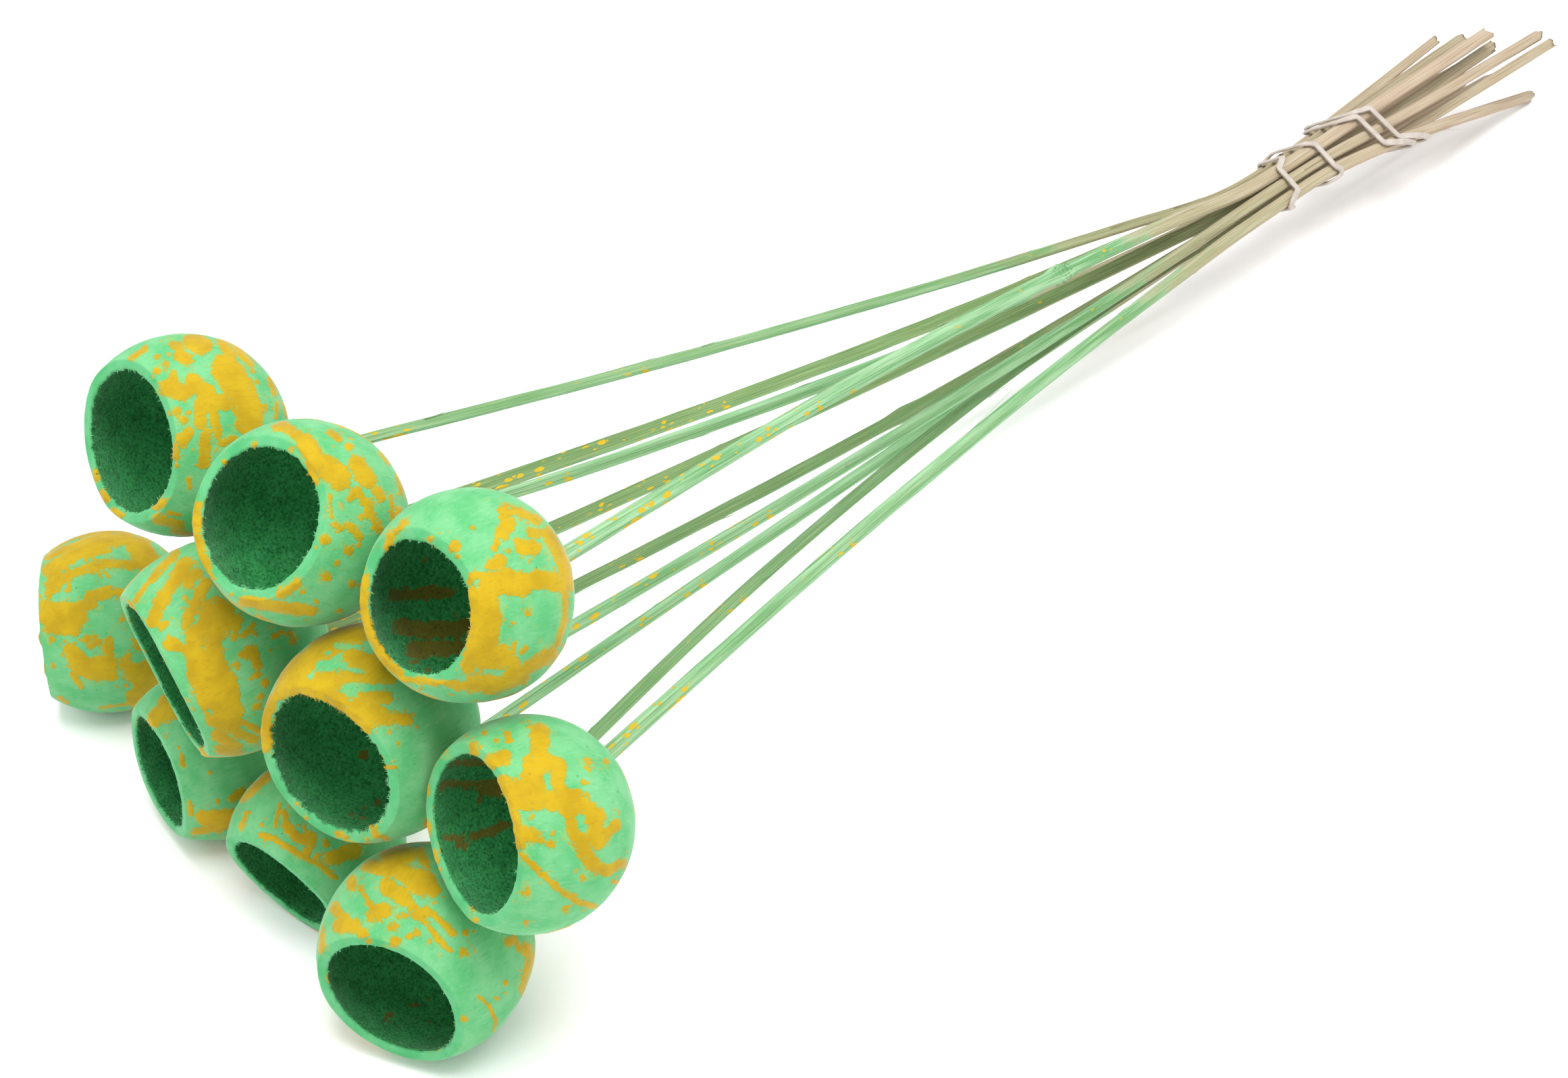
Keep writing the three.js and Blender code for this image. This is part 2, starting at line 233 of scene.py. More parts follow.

# Daubs of yellow paint: half width, then the points of the stroke, in the photograph's pixels.
# A negative half width leaves the dye bare.
PAINT_STROKES = {
    "top_1": [
        (13.9, 286, 503, 299, 513), (6.6, 329, 506, 344, 528), (4.3, 349, 516, 372, 540),
        (5.3, 256, 510, 267, 517), (8.3, 266, 525, 276, 533), (20.6, 334, 545, 355, 576, 370, 609),
        (15.9, 365, 626, 374, 636), (11.3, 248, 574, 272, 581), (6, 256, 557, 259, 569),
        (10.6, 286, 565, 306, 581, 312, 594), (11.9, 299, 598, 332, 596), (8, 296, 613, 296, 628),
        (5.6, 316, 609, 322, 642), (7, 306, 642, 302, 686), (8, 279, 642, 268, 651),
        (4.3, 262, 661, 260, 676), (5, 262, 609), (6, 271, 621), (3.6, 233, 528), (4, 246, 540),
        (4.6, 233, 550), (3.3, 374, 550), (4, 392, 603), (3, 380, 565), (2.3, 410, 596, 408, 619),
        (2.7, 421, 599, 424, 616), (3.3, 400, 560, 407, 583), (4.6, 233, 750, 243, 742),
        (6.6, 233, 768, 266, 778), (2.7, 249, 760, 266, 762), (4, 256, 785, 281, 792), (3.3, 280, 711),
        (2.7, 281, 721), (4, 142, 699, 144, 707), (4.3, 153, 729, 157, 739), (4, 168, 755, 180, 763),
        (3, 193, 531, 216, 515), (3, 262, 689), (4, 329, 656, 345, 649),
    ],
    "top_2": [
        (7.3, 290, 752, 290, 795, 301, 835, 312, 865), (7.3, 418, 629, 442, 646),
        (12.6, 452, 656, 471, 682), (17.2, 470, 686, 500, 702), (6.6, 461, 699, 462, 712),
        (6.6, 496, 719, 510, 716), (12.6, 529, 687, 544, 710), (5.6, 558, 725, 565, 737),
        (5, 544, 742, 547, 759, 560, 782), (2.7, 578, 735, 581, 770), (3.3, 591, 755, 588, 766),
        (2.3, 488, 732, 491, 765), (4.3, 498, 778, 503, 783), (7.3, 481, 798),
        (4, 517, 739, 529, 725, 541, 745), (5, 516, 777, 533, 795), (6.6, 517, 815), (4, 499, 833),
        (5.3, 483, 855), (4.6, 521, 865), (3.3, 503, 904), (7.6, 362, 890, 398, 896, 461, 905),
        (5.6, 415, 880, 440, 864), (4, 382, 915, 396, 922), (3.3, 332, 890, 349, 904), (3, 343, 880),
        (4, 491, 640, 502, 651), (5, 517, 662), (2.7, 564, 669, 575, 686), (3, 468, 890), (2.7, 448, 876),
        (4, 408, 632, 418, 636), (3, 332, 684), (3, 377, 658), (3, 588, 702, 594, 729),
    ],
    "top_3": [
        (7.6, 537, 858, 538, 902, 551, 940, 573, 978), (5.3, 573, 978, 591, 998), (6.2, 579, 793, 573, 810),
        (4.2, 586, 787, 600, 773), (4.5, 639, 797), (5.6, 674, 806, 671, 811), (2.5, 677, 823),
        (2.8, 700, 781), (9.3, 747, 756, 753, 773, 744, 790), (3.4, 736, 800, 732, 813),
        (4.8, 761, 756, 798, 771), (5.1, 786, 787, 796, 791), (10.7, 774, 810, 789, 813), (4.2, 766, 801),
        (2.8, 753, 817), (9, 731, 836, 742, 831), (17.4, 714, 873, 742, 860, 773, 866),
        (12.9, 773, 863, 803, 858, 836, 863), (6.2, 700, 855, 714, 852),
        (19.6, 716, 888, 721, 914, 714, 961), (8.4, 701, 877, 704, 933, 692, 989),
        (15.4, 714, 973, 744, 974), (11.8, 744, 967, 759, 987), (11.2, 700, 1012, 739, 1012, 773, 999),
        (8.4, 773, 994, 817, 967), (9.5, 812, 790, 834, 832, 843, 866), (3.6, 836, 877, 837, 916, 826, 954),
        (4.2, 781, 907), (3.6, 759, 923), (2.8, 762, 952, 760, 964), (2.8, 772, 965, 779, 959),
        (4.2, 593, 1006, 677, 1012), (5.1, 677, 1015, 733, 1023), (2.8, 627, 1031, 650, 1040),
        (3.4, 779, 1001, 777, 1012), (-6.2, 705, 864), (-3.9, 700, 1001), (2.5, 622, 1020),
        (2.5, 705, 1040), (2.8, 540, 841),
    ],
    "low_1": [
        (3.8, 69, 825, 114, 805, 165, 788), (9, 71, 844, 114, 819, 155, 803, 188, 797),
        (5.2, 72, 867, 114, 846, 155, 834, 203, 836), (3.1, 77, 834, 119, 824, 162, 815),
        (2.1, 98, 827, 103, 874), (2.1, 119, 812, 138, 850), (2.1, 129, 808, 149, 855),
        (1.7, 142, 829, 160, 853), (16.5, 207, 812, 225, 840), (4.5, 186, 801, 207, 831),
        (6.9, 220, 844, 213, 855), (2.8, 241, 809, 249, 819), (19.3, 77, 911, 108, 911),
        (9, 74, 929, 109, 932), (6.9, 114, 898, 139, 895), (7.9, 132, 885, 162, 876),
        (4.8, 162, 876, 188, 879), (5.5, 67, 894, 65, 911), (12.4, 112, 972, 119, 987),
        (15.8, 131, 989, 193, 984), (16.5, 169, 958, 193, 967), (22.7, 196, 963, 220, 973),
        (4.1, 174, 929, 176, 948), (8.3, 151, 998, 179, 998), (4.1, 124, 948), (3.4, 140, 943),
        (2.1, 95, 949), (2.8, 79, 986), (3.4, 106, 998, 121, 1016), (1.7, 148, 1048, 207, 1040),
        (2.1, 86, 1033, 101, 1040), (8, 76, 842, 82, 868), (6, 72, 878, 90, 862), (10, 208, 948, 226, 990),
        (5, 128, 946), (3.4, 133, 958, 146, 950), (4, 76, 946), (9, 104, 962, 110, 976),
    ],
    "mid_1": [
        (3, 200, 890, 215, 868, 235, 842, 262, 815), (2, 225, 862, 262, 822),
        (9, 226, 918, 234, 902, 249, 874, 275, 834), (4, 238, 930, 246, 922),
        (7.6, 279, 865, 283, 855, 292, 850), (7.5, 275, 925, 290, 892, 304, 864), (25, 322, 912, 312, 935),
        (8, 345, 928, 352, 918), (28, 300, 950, 304, 975), (8, 250, 952, 275, 958),
        (29, 306, 990, 313, 1010), (31, 319, 1015, 324, 1032), (14, 340, 1040, 346, 1052),
        (13, 318, 1062, 344, 1072), (8, 322, 1088, 348, 1106), (6, 348, 1084, 378, 1096),
        (7, 326, 1110, 356, 1119), (3.8, 348, 1063, 386, 1084), (7, 362, 970, 372, 962),
        (6, 376, 968, 382, 984), (5, 350, 985), (5, 380, 1001), (4.8, 392, 1011), (4.5, 386, 1032),
        (5.5, 381, 1046), (3.5, 360, 942, 374, 926), (4, 379, 939), (3, 348, 930, 346, 945), (3, 401, 963),
        (3.4, 406, 942, 417, 936), (4, 436, 950, 431, 938), (-3, 332, 938, 330, 957),
        (-2, 342, 932, 340, 950), (-2.5, 304, 944, 300, 960), (-2, 288, 918, 300, 904),
        (-4.5, 266, 918, 271, 950), (-3.5, 264, 972, 273, 1002), (-3, 308, 1048, 314, 1058),
    ],
    "low_2": [
        (4.1, 220, 1036, 249, 1018), (5.2, 246, 1066, 255, 1046, 266, 1044), (2.8, 224, 1046, 238, 1066),
        (3.1, 207, 1056, 211, 1084, 224, 1142, 252, 1205), (2.4, 256, 1090, 264, 1105),
        (2.8, 269, 1118, 271, 1132), (2.8, 281, 1187, 282, 1205), (10.3, 301, 1212, 344, 1208),
        (4.5, 289, 1232, 320, 1225), (6.9, 324, 1225, 344, 1215), (5.5, 344, 1184, 359, 1173),
        (2.4, 310, 1144), (2.8, 322, 1187), (3.1, 234, 1011),
    ],
    "mid_2": [
        (11, 391, 1104, 391, 1060, 400, 1036, 416, 1016, 440, 1008), (8.5, 440, 1008, 472, 1020, 500, 1032),
        (8, 500, 1032, 526, 1054, 546, 1071), (22, 426, 992, 470, 960), (20, 470, 955, 522, 941),
        (17, 482, 1006, 540, 1000), (13, 520, 972, 556, 984), (10, 545, 1001, 576, 1003),
        (14, 530, 1046, 560, 1058), (8.5, 560, 1062, 602, 1066), (8, 538, 1032, 574, 1034),
        (4.5, 571, 1010), (2.4, 589, 1100), (2.2, 564, 1136, 586, 1136), (2.9, 560, 1125, 567, 1136),
        (4.5, 553, 1222, 557, 1235), (2.6, 559, 1237, 574, 1242), (3.4, 544, 1242),
        (3.6, 500, 1234, 512, 1238), (2.5, 440, 1190), (2.5, 453, 1212), (3, 500, 1247, 520, 1249),
        (8, 406, 1034, 422, 1023, 446, 1019, 480, 1031, 512, 1055, 540, 1079), (-6, 497, 955, 542, 960),
        (-9, 474, 985, 508, 986), (-4.5, 485, 968), (-4, 512, 990, 536, 995), (-8, 514, 1018, 578, 1018),
        (-3, 405, 1010, 401, 1024), (-2.5, 446, 963, 456, 956),
    ],
    "low_3": [
        (1.9, 414, 1191, 407, 1225), (3.2, 420, 1201, 424, 1223), (6.5, 426, 1225, 441, 1242, 462, 1239),
        (5.6, 463, 1237, 455, 1264), (4.8, 482, 1249), (4.8, 470, 1268), (10.2, 491, 1271, 525, 1259),
        (2.4, 453, 1230), (3.6, 387, 1236, 407, 1242, 441, 1264, 473, 1281, 496, 1300),
        (8.2, 357, 1179, 380, 1162, 393, 1150), (2.9, 387, 1222), (4.8, 516, 1239, 535, 1244),
        (3.4, 365, 1205, 357, 1225),
    ],
    "mid_3": [
        (13.1, 799, 1085, 799, 1119), (16.5, 791, 1133, 821, 1138), (22.7, 758, 1178, 791, 1176),
        (21.4, 792, 1155, 823, 1178), (14.5, 827, 1179, 849, 1182), (13.1, 746, 1161, 753, 1186),
        (6.9, 825, 1133, 829, 1154), (10.3, 729, 1127, 746, 1121), (11, 757, 1198, 766, 1247),
        (11, 770, 1233, 788, 1237), (4.8, 800, 1243), (5.9, 815, 1249),
        (10.7, 839, 1195, 857, 1240, 873, 1274), (7.9, 875, 1278, 897, 1289), (5.2, 897, 1289, 923, 1278),
        (12.4, 851, 1189, 884, 1209), (11, 877, 1214, 884, 1247), (6.9, 884, 1247, 912, 1220),
        (3.4, 772, 1264, 794, 1285, 825, 1315, 856, 1336, 881, 1342), (3.1, 789, 1209), (5.2, 780, 1321),
        (3.1, 863, 1300), (3.1, 849, 1324), (3.4, 837, 1346), (3.1, 779, 1366), (3.8, 705, 1362),
        (3.1, 702, 1346), (4.8, 870, 1128), (2.8, 863, 1159), (3.1, 868, 1176), (2.4, 909, 1198),
        (4.1, 897, 1128), (2.4, 782, 1068), (3.4, 718, 1085), (4.1, 751, 1088, 756, 1097), (2.8, 735, 1097),
        (4.1, 674, 1092, 687, 1088), (6.2, 701, 1105, 703, 1113), (2.8, 908, 1305, 919, 1307),
        (9, 655, 1107), (5.5, 632, 1129), (5.5, 632, 1144), (5.9, 629, 1160, 629, 1173),
        (5.5, 632, 1223, 631, 1234), (6.2, 643, 1265, 643, 1275), (3.4, 649, 1287),
        (-5.9, 811, 1147, 813, 1167), (-8.6, 859, 1212, 863, 1226),
    ],
    "low_4": [
        (9.6, 544, 1281, 574, 1289), (13.1, 579, 1282, 605, 1297), (11.4, 574, 1313, 598, 1330),
        (14.5, 613, 1306, 639, 1313), (6.9, 622, 1293, 648, 1302), (9.6, 625, 1264, 641, 1281),
        (11.7, 574, 1266, 605, 1266), (5.9, 608, 1340, 625, 1357), (3.1, 625, 1361, 667, 1409),
        (3.8, 632, 1346, 671, 1382), (3.8, 646, 1389, 664, 1405), (6.9, 617, 1353),
        (7.2, 494, 1343, 512, 1364), (10.3, 503, 1371, 525, 1371), (6.2, 525, 1372, 537, 1382),
        (7.2, 515, 1295, 522, 1312), (3.1, 532, 1313, 546, 1333, 558, 1360), (9.6, 553, 1354, 570, 1347),
        (7.6, 585, 1393), (6.2, 581, 1371), (3.8, 599, 1357), (3.4, 589, 1357), (4.8, 617, 1379),
        (3.4, 605, 1386), (3.1, 546, 1393), (4.1, 689, 1381), (4.8, 687, 1408), (2.1, 701, 1379),
        (6.2, 755, 1395), (3.4, 760, 1388, 770, 1405), (5.9, 780, 1402, 786, 1422, 778, 1450),
        (2.8, 777, 1450, 772, 1468), (3.1, 748, 1455), (2.8, 734, 1479), (2.1, 748, 1470),
        (2.1, 710, 1476, 725, 1491, 734, 1512, 731, 1526), (3.8, 687, 1509), (4.8, 474, 1367, 476, 1405),
        (4.8, 489, 1448), (2.8, 494, 1460, 529, 1501, 581, 1536, 646, 1553),
    ],
}

LINING_STROKES = {
    "top_3": [
        (9.3, 583, 881, 632, 877, 665, 878), (12.6, 594, 928, 638, 935, 688, 928),
        (12.9, 613, 962, 677, 959), (6.2, 613, 981), (3.9, 628, 829), (5.1, 676, 912), (3.9, 635, 991),
    ],
    "mid_2": [
        (4.8, 523, 1204), (5.1, 538, 1213), (5.8, 559, 1188), (3.4, 540, 1196), (8.2, 538, 1118),
    ],
    "mid_3": [
        (4.8, 639, 1140, 674, 1130, 715, 1130), (5.2, 639, 1167, 667, 1159, 715, 1165),
        (12.4, 717, 1166, 735, 1168), (5.5, 711, 1185), (5.5, 663, 1240, 687, 1244), (8.3, 684, 1250),
        (6.5, 698, 1238, 722, 1234, 746, 1221),
    ],
    "low_4": [
        (7.6, 577, 1504), (3.8, 605, 1490, 617, 1487), (2.8, 587, 1443), (2.8, 634, 1481), (2.8, 636, 1512),
        (3.1, 653, 1514), (3.4, 567, 1470), (2.8, 594, 1519),
    ],
}

# How paint follows the photograph, and what covers the sides it does not show
UNPAINTED = 6.0
FULL_STROKE = 5.0
HIDDEN_PAINT = ((3.0, 9.0), (1.6, 4.0))
HIDDEN_SHORT = 0.9


def turn_matrix(direction):
    """Turns the cup's own axis, Y, the shortest way onto a direction."""
    axis = np.array((0.0, 1.0, 0.0))
    side = np.cross(axis, direction)
    cross = np.array(((0, -side[2], side[1]), (side[2], 0, -side[0]), (-side[1], side[0], 0)))
    return np.eye(3) + cross + cross @ cross / (1 + axis @ direction)


def unit(vectors):
    lengths = np.linalg.norm(vectors, axis=-1, keepdims=True)
    return vectors / np.maximum(lengths, 1e-12)


def smooth(low, high, values):
    share = np.clip((values - low) / (high - low), 0, 1)
    return share * share * (3 - 2 * share)


def rows_at(places, known, rows):
    """Rows for places in between the known ones, which grow."""
    return np.stack([np.interp(places, known, rows[:, axis]) for axis in range(3)], axis=1)


def eased(loop):
    """A closed loop's rows, each drawn towards its neighbours."""
    return (np.roll(loop, 1, axis=0) + 2 * loop + np.roll(loop, -1, axis=0)) / 4


def lumps(points, size, seed):
    """Smooth noise between -1 and 1 at each point, in lumps of about that size."""
    grid = points / size
    cell = np.floor(grid).astype(np.int64)
    part = grid - cell
    part = part * part * (3 - 2 * part)
    total = np.zeros(len(points))
    for corner in itertools.product((0, 1), repeat=3):
        key = ((cell + corner) * np.array((73856093, 19349663, 83492791))).sum(axis=1) + seed * 1013904223
        key = (key ^ (key >> 13)) * 1274126177
        value = ((key ^ (key >> 16)) & 0xFFFF) / 32767.5 - 1
        total += value * np.prod(np.where(corner, part, 1 - part), axis=1)
    return total


def layers(points, waves, seed):
    """Lumps of several heights and sizes, laid over each other."""
    return sum(height * lumps(points, size, seed + step) for step, (height, size) in enumerate(waves))


# Camera

def camera_axes():
    """Right, up and forward of the camera."""
    heading = math.radians(CAMERA_HEADING)
    down = math.radians(CAMERA_DOWN)
    right = np.array((math.cos(heading), -math.sin(heading), 0.0))
    level = np.array((math.sin(heading), math.cos(heading), 0.0))
    forward = level * math.cos(down) - np.array((0.0, 0.0, math.sin(down)))
    return right, np.cross(right, forward), forward


def photo_pixels(points):
    """Where points of the frame, in millimetres, show in the photograph."""
    right, up, forward = camera_axes()
    away = points - CAMERA_PLACE
    depth = away @ forward
    focal = LENS / SENSOR * PHOTO_WIDTH
    across = PHOTO_WIDTH / 2 + focal * (away @ right) / depth
    downward = PHOTO_HEIGHT / 2 - focal * (away @ up) / depth
    return np.stack((across, downward), axis=1)


def add_camera():
    lens = bpy.data.cameras.new("camera")
    lens.lens = LENS
    lens.sensor_width = SENSOR
    lens.sensor_fit = "HORIZONTAL"
    lens.clip_start = 0.01
    camera = bpy.data.objects.new("camera", lens)
    camera.location = CAMERA_PLACE * MM
    camera.rotation_euler = (math.radians(90 - CAMERA_DOWN), 0, math.radians(-CAMERA_HEADING))
    bpy.context.scene.collection.objects.link(camera)
    bpy.context.scene.camera = camera


# Finishes

class Wire:
    """A shader value. Python arithmetic on it adds Math nodes to its finish."""

    def __init__(self, finish, socket):
        self.finish = finish
        self.socket = socket

    def math(self, operation, first, second):
        return self.finish.node("ShaderNodeMath", {"operation": operation}, {0: first, 1: second})

    def __add__(self, other):
        return self.math("ADD", self, other)

    def __radd__(self, other):
        return self.math("ADD", other, self)

    def __sub__(self, other):
        return self.math("SUBTRACT", self, other)

    def __rsub__(self, other):
        return self.math("SUBTRACT", other, self)

    def __mul__(self, other):
        return self.math("MULTIPLY", self, other)

    def __rmul__(self, other):
        return self.math("MULTIPLY", other, self)

    def most(self, other):
        return self.math("MAXIMUM", self, other)

    def step(self, low, high):
        """0 below low and 1 above high, smooth between."""
        return self.finish.node(
            "ShaderNodeMapRange",
            {"interpolation_type": "SMOOTHSTEP"},
            {"Value": self, "From Min": low, "From Max": high},
        )


class Finish:
    """A procedural material under construction."""

    def __init__(self, name):
        self.material = bpy.data.materials.new(name)
        self.material.use_nodes = True
        self.tree = self.material.node_tree
        self.tree.nodes.clear()

    def node(self, kind, settings=None, sockets=None, output=0):
        made = self.tree.nodes.new(kind)
        for name, value in (settings or {}).items():
            setattr(made, name, value)
        for key, value in (sockets or {}).items():
            if isinstance(value, Wire):
                self.tree.links.new(value.socket, made.inputs[key])
            else:
                made.inputs[key].default_value = value
        return Wire(self, made.outputs[output] if made.outputs else None)

    def attribute(self, name, output="Fac"):
        return self.node("ShaderNodeAttribute", {"attribute_name": name}, output=output)

    def stretched(self, place, scales):
        return self.node("ShaderNodeVectorMath", {"operation": "MULTIPLY"}, {0: place, 1: scales})

    def warped(self, place, size, amount):
        """Places pushed about by up to that amount, in waves of that size."""
        waves = self.node("ShaderNodeTexNoise", {}, {"Vector": place, "Scale": 1 / size}, "Color")
        push = (amount, amount, amount)
        return self.node("ShaderNodeVectorMath", {"operation": "MULTIPLY_ADD"}, {0: waves, 1: push, 2: place})

    def noise(self, place, size, detail=2.0):
        """Cloudy value about 0.5, in clouds of that size."""
        return self.node("ShaderNodeTexNoise", {}, {"Vector": place, "Scale": 1 / size, "Detail": detail})

    def cells(self, place, size, output):
        return self.node("ShaderNodeTexVoronoi", {}, {"Vector": place, "Scale": 1 / size}, output)

    def channel(self, colour, output):
        return self.node("ShaderNodeSeparateColor", {}, {"Color": colour}, output)

    def dots(self, place, size, smallest, largest, rarity):
        """Round dots, one in some of the cells of that size; radii are shares of a cell."""
        colour = self.cells(place, size, "Color")
        radius = self.channel(colour, "Red") * (largest - smallest) + smallest
        inside = (radius - self.cells(place, size, "Distance")).step(-0.02, 0.02)
        return inside * self.channel(colour, "Green").step(rarity, rarity + 0.02)

    def mix(self, factor, first, second):
        return self.node("ShaderNodeMix", {"data_type": "RGBA"}, {0: factor, 6: first, 7: second}, 2)

    def bump(self, height, distance):
        return self.node("ShaderNodeBump", {}, {"Height": height, "Distance": distance * MM, "Strength": 1.0})

    def surface(self, sockets):
        shader = self.node("ShaderNodeBsdfPrincipled", {}, sockets)
        self.node("ShaderNodeOutputMaterial", {}, {"Surface": shader})
        return self.material


def dye(red, green, blue):
    """The dye that shows as a colour of the photograph, 0 to 255, under the bright studio light."""
    def linear(value):
        share = value / 255
        return (share / 12.92 if share <= 0.04045 else ((share + 0.055) / 1.055) ** 2.4) / STUDIO
    return (linear(red), linear(green), linear(blue), 1.0)


def painted_shell():
    """Chalky mint dye with yellow paint sponged, dragged and splashed over it."""
    finish = Finish("painted_shell")
    place = finish.attribute("grain", "Vector")
    paint = finish.attribute("paint")
    cut = finish.attribute("cut")
    clouds = finish.noise(place, 6.0, 3.0)
    streaks = finish.noise(finish.stretched(place, (1.0, 0.12, 1.0)), 0.55, 3.0)
    grit = finish.noise(place, 0.35, 2.0)

    ragged = (finish.noise(place, 2.0, 4.0) - 0.5) * 1.7 + (finish.noise(place, 0.6, 3.0) - 0.5) * 1.5
    ragged = ragged + (streaks - 0.5) * 0.8
    level = paint + ragged + 0.2
    bent = finish.warped(place, 1.2, 1.6)
    splash = finish.dots(bent, 2.2, 0.03, 0.32, 0.42) * paint.step(-3.5, -0.8)
    splash = splash.most(finish.dots(bent, 1.1, 0.05, 0.36, 0.5) * paint.step(-2.2, -0.4))
    holes = finish.noise(place, 0.8, 3.0).step(0.65, 0.69) * level.step(1.6, 0.3)
    covered = (level.step(-0.1, 0.1) * (1 - holes)).most(splash)

    mint = finish.mix(clouds.step(0.3, 0.7), dye(100, 200, 126), dye(132, 214, 148))
    mint = finish.mix(streaks.step(0.54, 0.75) * 0.35, mint, dye(160, 228, 178))
    mint = finish.mix(streaks.step(0.44, 0.25) * 0.35, mint, dye(66, 172, 100))
    mint = finish.mix(grit.step(0.4, 0.25) * 0.2, mint, dye(80, 172, 108))
    sawn = finish.mix(clouds.step(0.3, 0.7), dye(86, 196, 122), dye(116, 210, 144))
    mint = finish.mix(cut, mint, sawn)
    pits = finish.dots(place, 2.9, 0.02, 0.07, 0.7)
    mint = finish.mix(pits * 0.6, mint, dye(50, 136, 86))
    wash = (paint + (finish.noise(place, 3.5, 3.0) - 0.5) * 6.0).step(-0.8, 0.6)
    mint = finish.mix(wash * 0.45, mint, dye(178, 204, 92))

    yellow = finish.mix(clouds.step(0.35, 0.65), dye(200, 164, 4), dye(218, 182, 12))
    yellow = finish.mix(streaks.step(0.5, 0.3) * 0.3, yellow, dye(182, 146, 10))
    thin = level.step(0.5, 0.0)
    yellow = finish.mix(thin * 0.3, yellow, dye(200, 186, 56))
    colour = finish.mix(covered, mint, yellow)

    relief = covered * 0.5 + grit * 0.3 + streaks * 0.4 - pits
    return finish.surface({
        "Base Color": colour,
        "Roughness": 0.92 - covered * 0.16,
        "Specular IOR Level": 0.25,
        "Sheen Weight": 0.2,
        "Sheen Roughness": 0.3,
        "Normal": finish.bump(relief, 0.13),
    })


def felt_lining():
    """Green felt inside the cups, with brown stains in some and a painted sheen on the tips of its hairs."""
    finish = Finish("felt_lining")
    place = finish.attribute("grain", "Vector")
    stain = finish.attribute("paint") + (finish.noise(place, 1.4, 4.0) - 0.5) * 3.0
    nap = finish.attribute("nap")
    fluff = finish.noise(place, 0.6, 5.0)
    clouds = finish.noise(place, 4.0, 2.0)
    green = finish.mix(clouds.step(0.3, 0.7), dye(64, 172, 96), dye(78, 190, 110))
    green = finish.mix(fluff.step(0.52, 0.36) * 0.6, green, dye(24, 104, 52))
    green = finish.mix(fluff.step(0.56, 0.7) * 0.5, green, dye(120, 212, 150))
    # Painted sheen: the tips of the felt's hairs are coloured lighter
    green = finish.mix(nap * 0.4, green, dye(96, 196, 130))
    colour = finish.mix(stain.step(-0.25, 0.25) * 0.85, green, dye(150, 122, 36))
    return finish.surface({
        "Base Color": colour,
        "Roughness": 1.0,
        "Specular IOR Level": 0.1,
        "Sheen Weight": 0.1,
        "Sheen Roughness": 0.5,
        "Normal": finish.bump(fluff, 0.3),
    })


def split_stem():
    """Split palm rib: dyed mint near the cup, olive on the split face, tan to pink towards the cut end."""
    finish = Finish("split_stem")
    place = finish.attribute("grain", "Vector")
    mint = finish.attribute("mint")
    olive = finish.attribute("olive")
    pink = finish.attribute("pink")
    fleck = finish.attribute("fleck")
    lines = finish.noise(finish.stretched(place, (1.0, 1.0, 0.012)), 0.3, 4.0)
    broad = finish.noise(finish.stretched(place, (1.0, 1.0, 0.03)), 1.0, 3.0)
    patches = finish.noise(finish.stretched(place, (1.0, 1.0, 0.2)), 3.0, 3.0)

    wood = finish.mix(pink, dye(190, 184, 142), dye(208, 184, 156))
    wood = finish.mix(lines.step(0.45, 0.7) * 0.6, wood, dye(224, 213, 193))
    wood = finish.mix(lines.step(0.48, 0.3) * 0.55, wood, dye(162, 140, 106))
    dyed = finish.mix(broad.step(0.35, 0.65), dye(116, 182, 116), dye(172, 220, 168))
    dyed = finish.mix(lines.step(0.5, 0.72) * 0.6, dyed, dye(214, 232, 198))
    dyed = finish.mix(lines.step(0.47, 0.3) * 0.6, dyed, dye(100, 148, 94))
    face = finish.mix(lines.step(0.4, 0.65), dye(106, 138, 76), dye(152, 178, 112))
    face = finish.mix(mint * 0.45, face, dye(128, 172, 110))
    taken = (mint + (patches - 0.5) * 0.9).step(0.25, 0.62)
    colour = finish.mix(taken, wood, dyed)
    colour = finish.mix(olive, colour, face)
    specks = finish.dots(finish.stretched(place, (1.0, 1.0, 0.5)), 1.6, 0.1, 0.55, 0.35)
    strewn = finish.noise(finish.stretched(place, (1.0, 1.0, 0.3)), 9.0, 2.0)
    specks = specks * (fleck + (strewn - 0.5) * 1.8).step(0.3, 0.45)
    colour = finish.mix(specks, colour, dye(226, 192, 36))
    spots = finish.dots(finish.stretched(place, (1.0, 1.0, 0.4)), 4.0, 0.02, 0.09, 0.75)
    colour = finish.mix(spots * 0.6, colour, dye(126, 84, 62))
    return finish.surface({
        "Base Color": colour,
        "Roughness": 0.72 + (broad - 0.5) * 0.3,
        "Specular IOR Level": 0.3,
        "Normal": finish.bump(lines + specks * 0.4, 0.18),
    })


def pale_rubber():
    """Dusty beige rubber."""
    finish = Finish("pale_rubber")
    place = finish.node("ShaderNodeTexCoord", {}, {}, "Object")
    dust = finish.noise(place, 3.0 * MM, 4.0)
    pores = finish.noise(place, 0.3 * MM, 2.0)
    colour = finish.mix(dust.step(0.3, 0.7), dye(206, 193, 182), dye(223, 213, 203))
    colour = finish.mix(pores.step(0.42, 0.28) * 0.4, colour, dye(188, 168, 152))
    return finish.surface({
        "Base Color": colour,
        "Roughness": 0.6 + dust * 0.2,
        "Specular IOR Level": 0.35,
        "Normal": finish.bump(pores, 0.06),
    })


# Floor and light

def pale_floor():
    finish = Finish("pale_floor")
    place = finish.node("ShaderNodeTexCoord", {}, {}, "Object")
    tone = finish.noise(place, 0.4, 2.0)
    return finish.surface({
        "Base Color": finish.mix(tone, (0.97, 0.97, 0.97, 1.0), (0.95, 0.95, 0.95, 1.0)),
        "Roughness": 0.9,
        "Specular IOR Level": 0.1,
    })


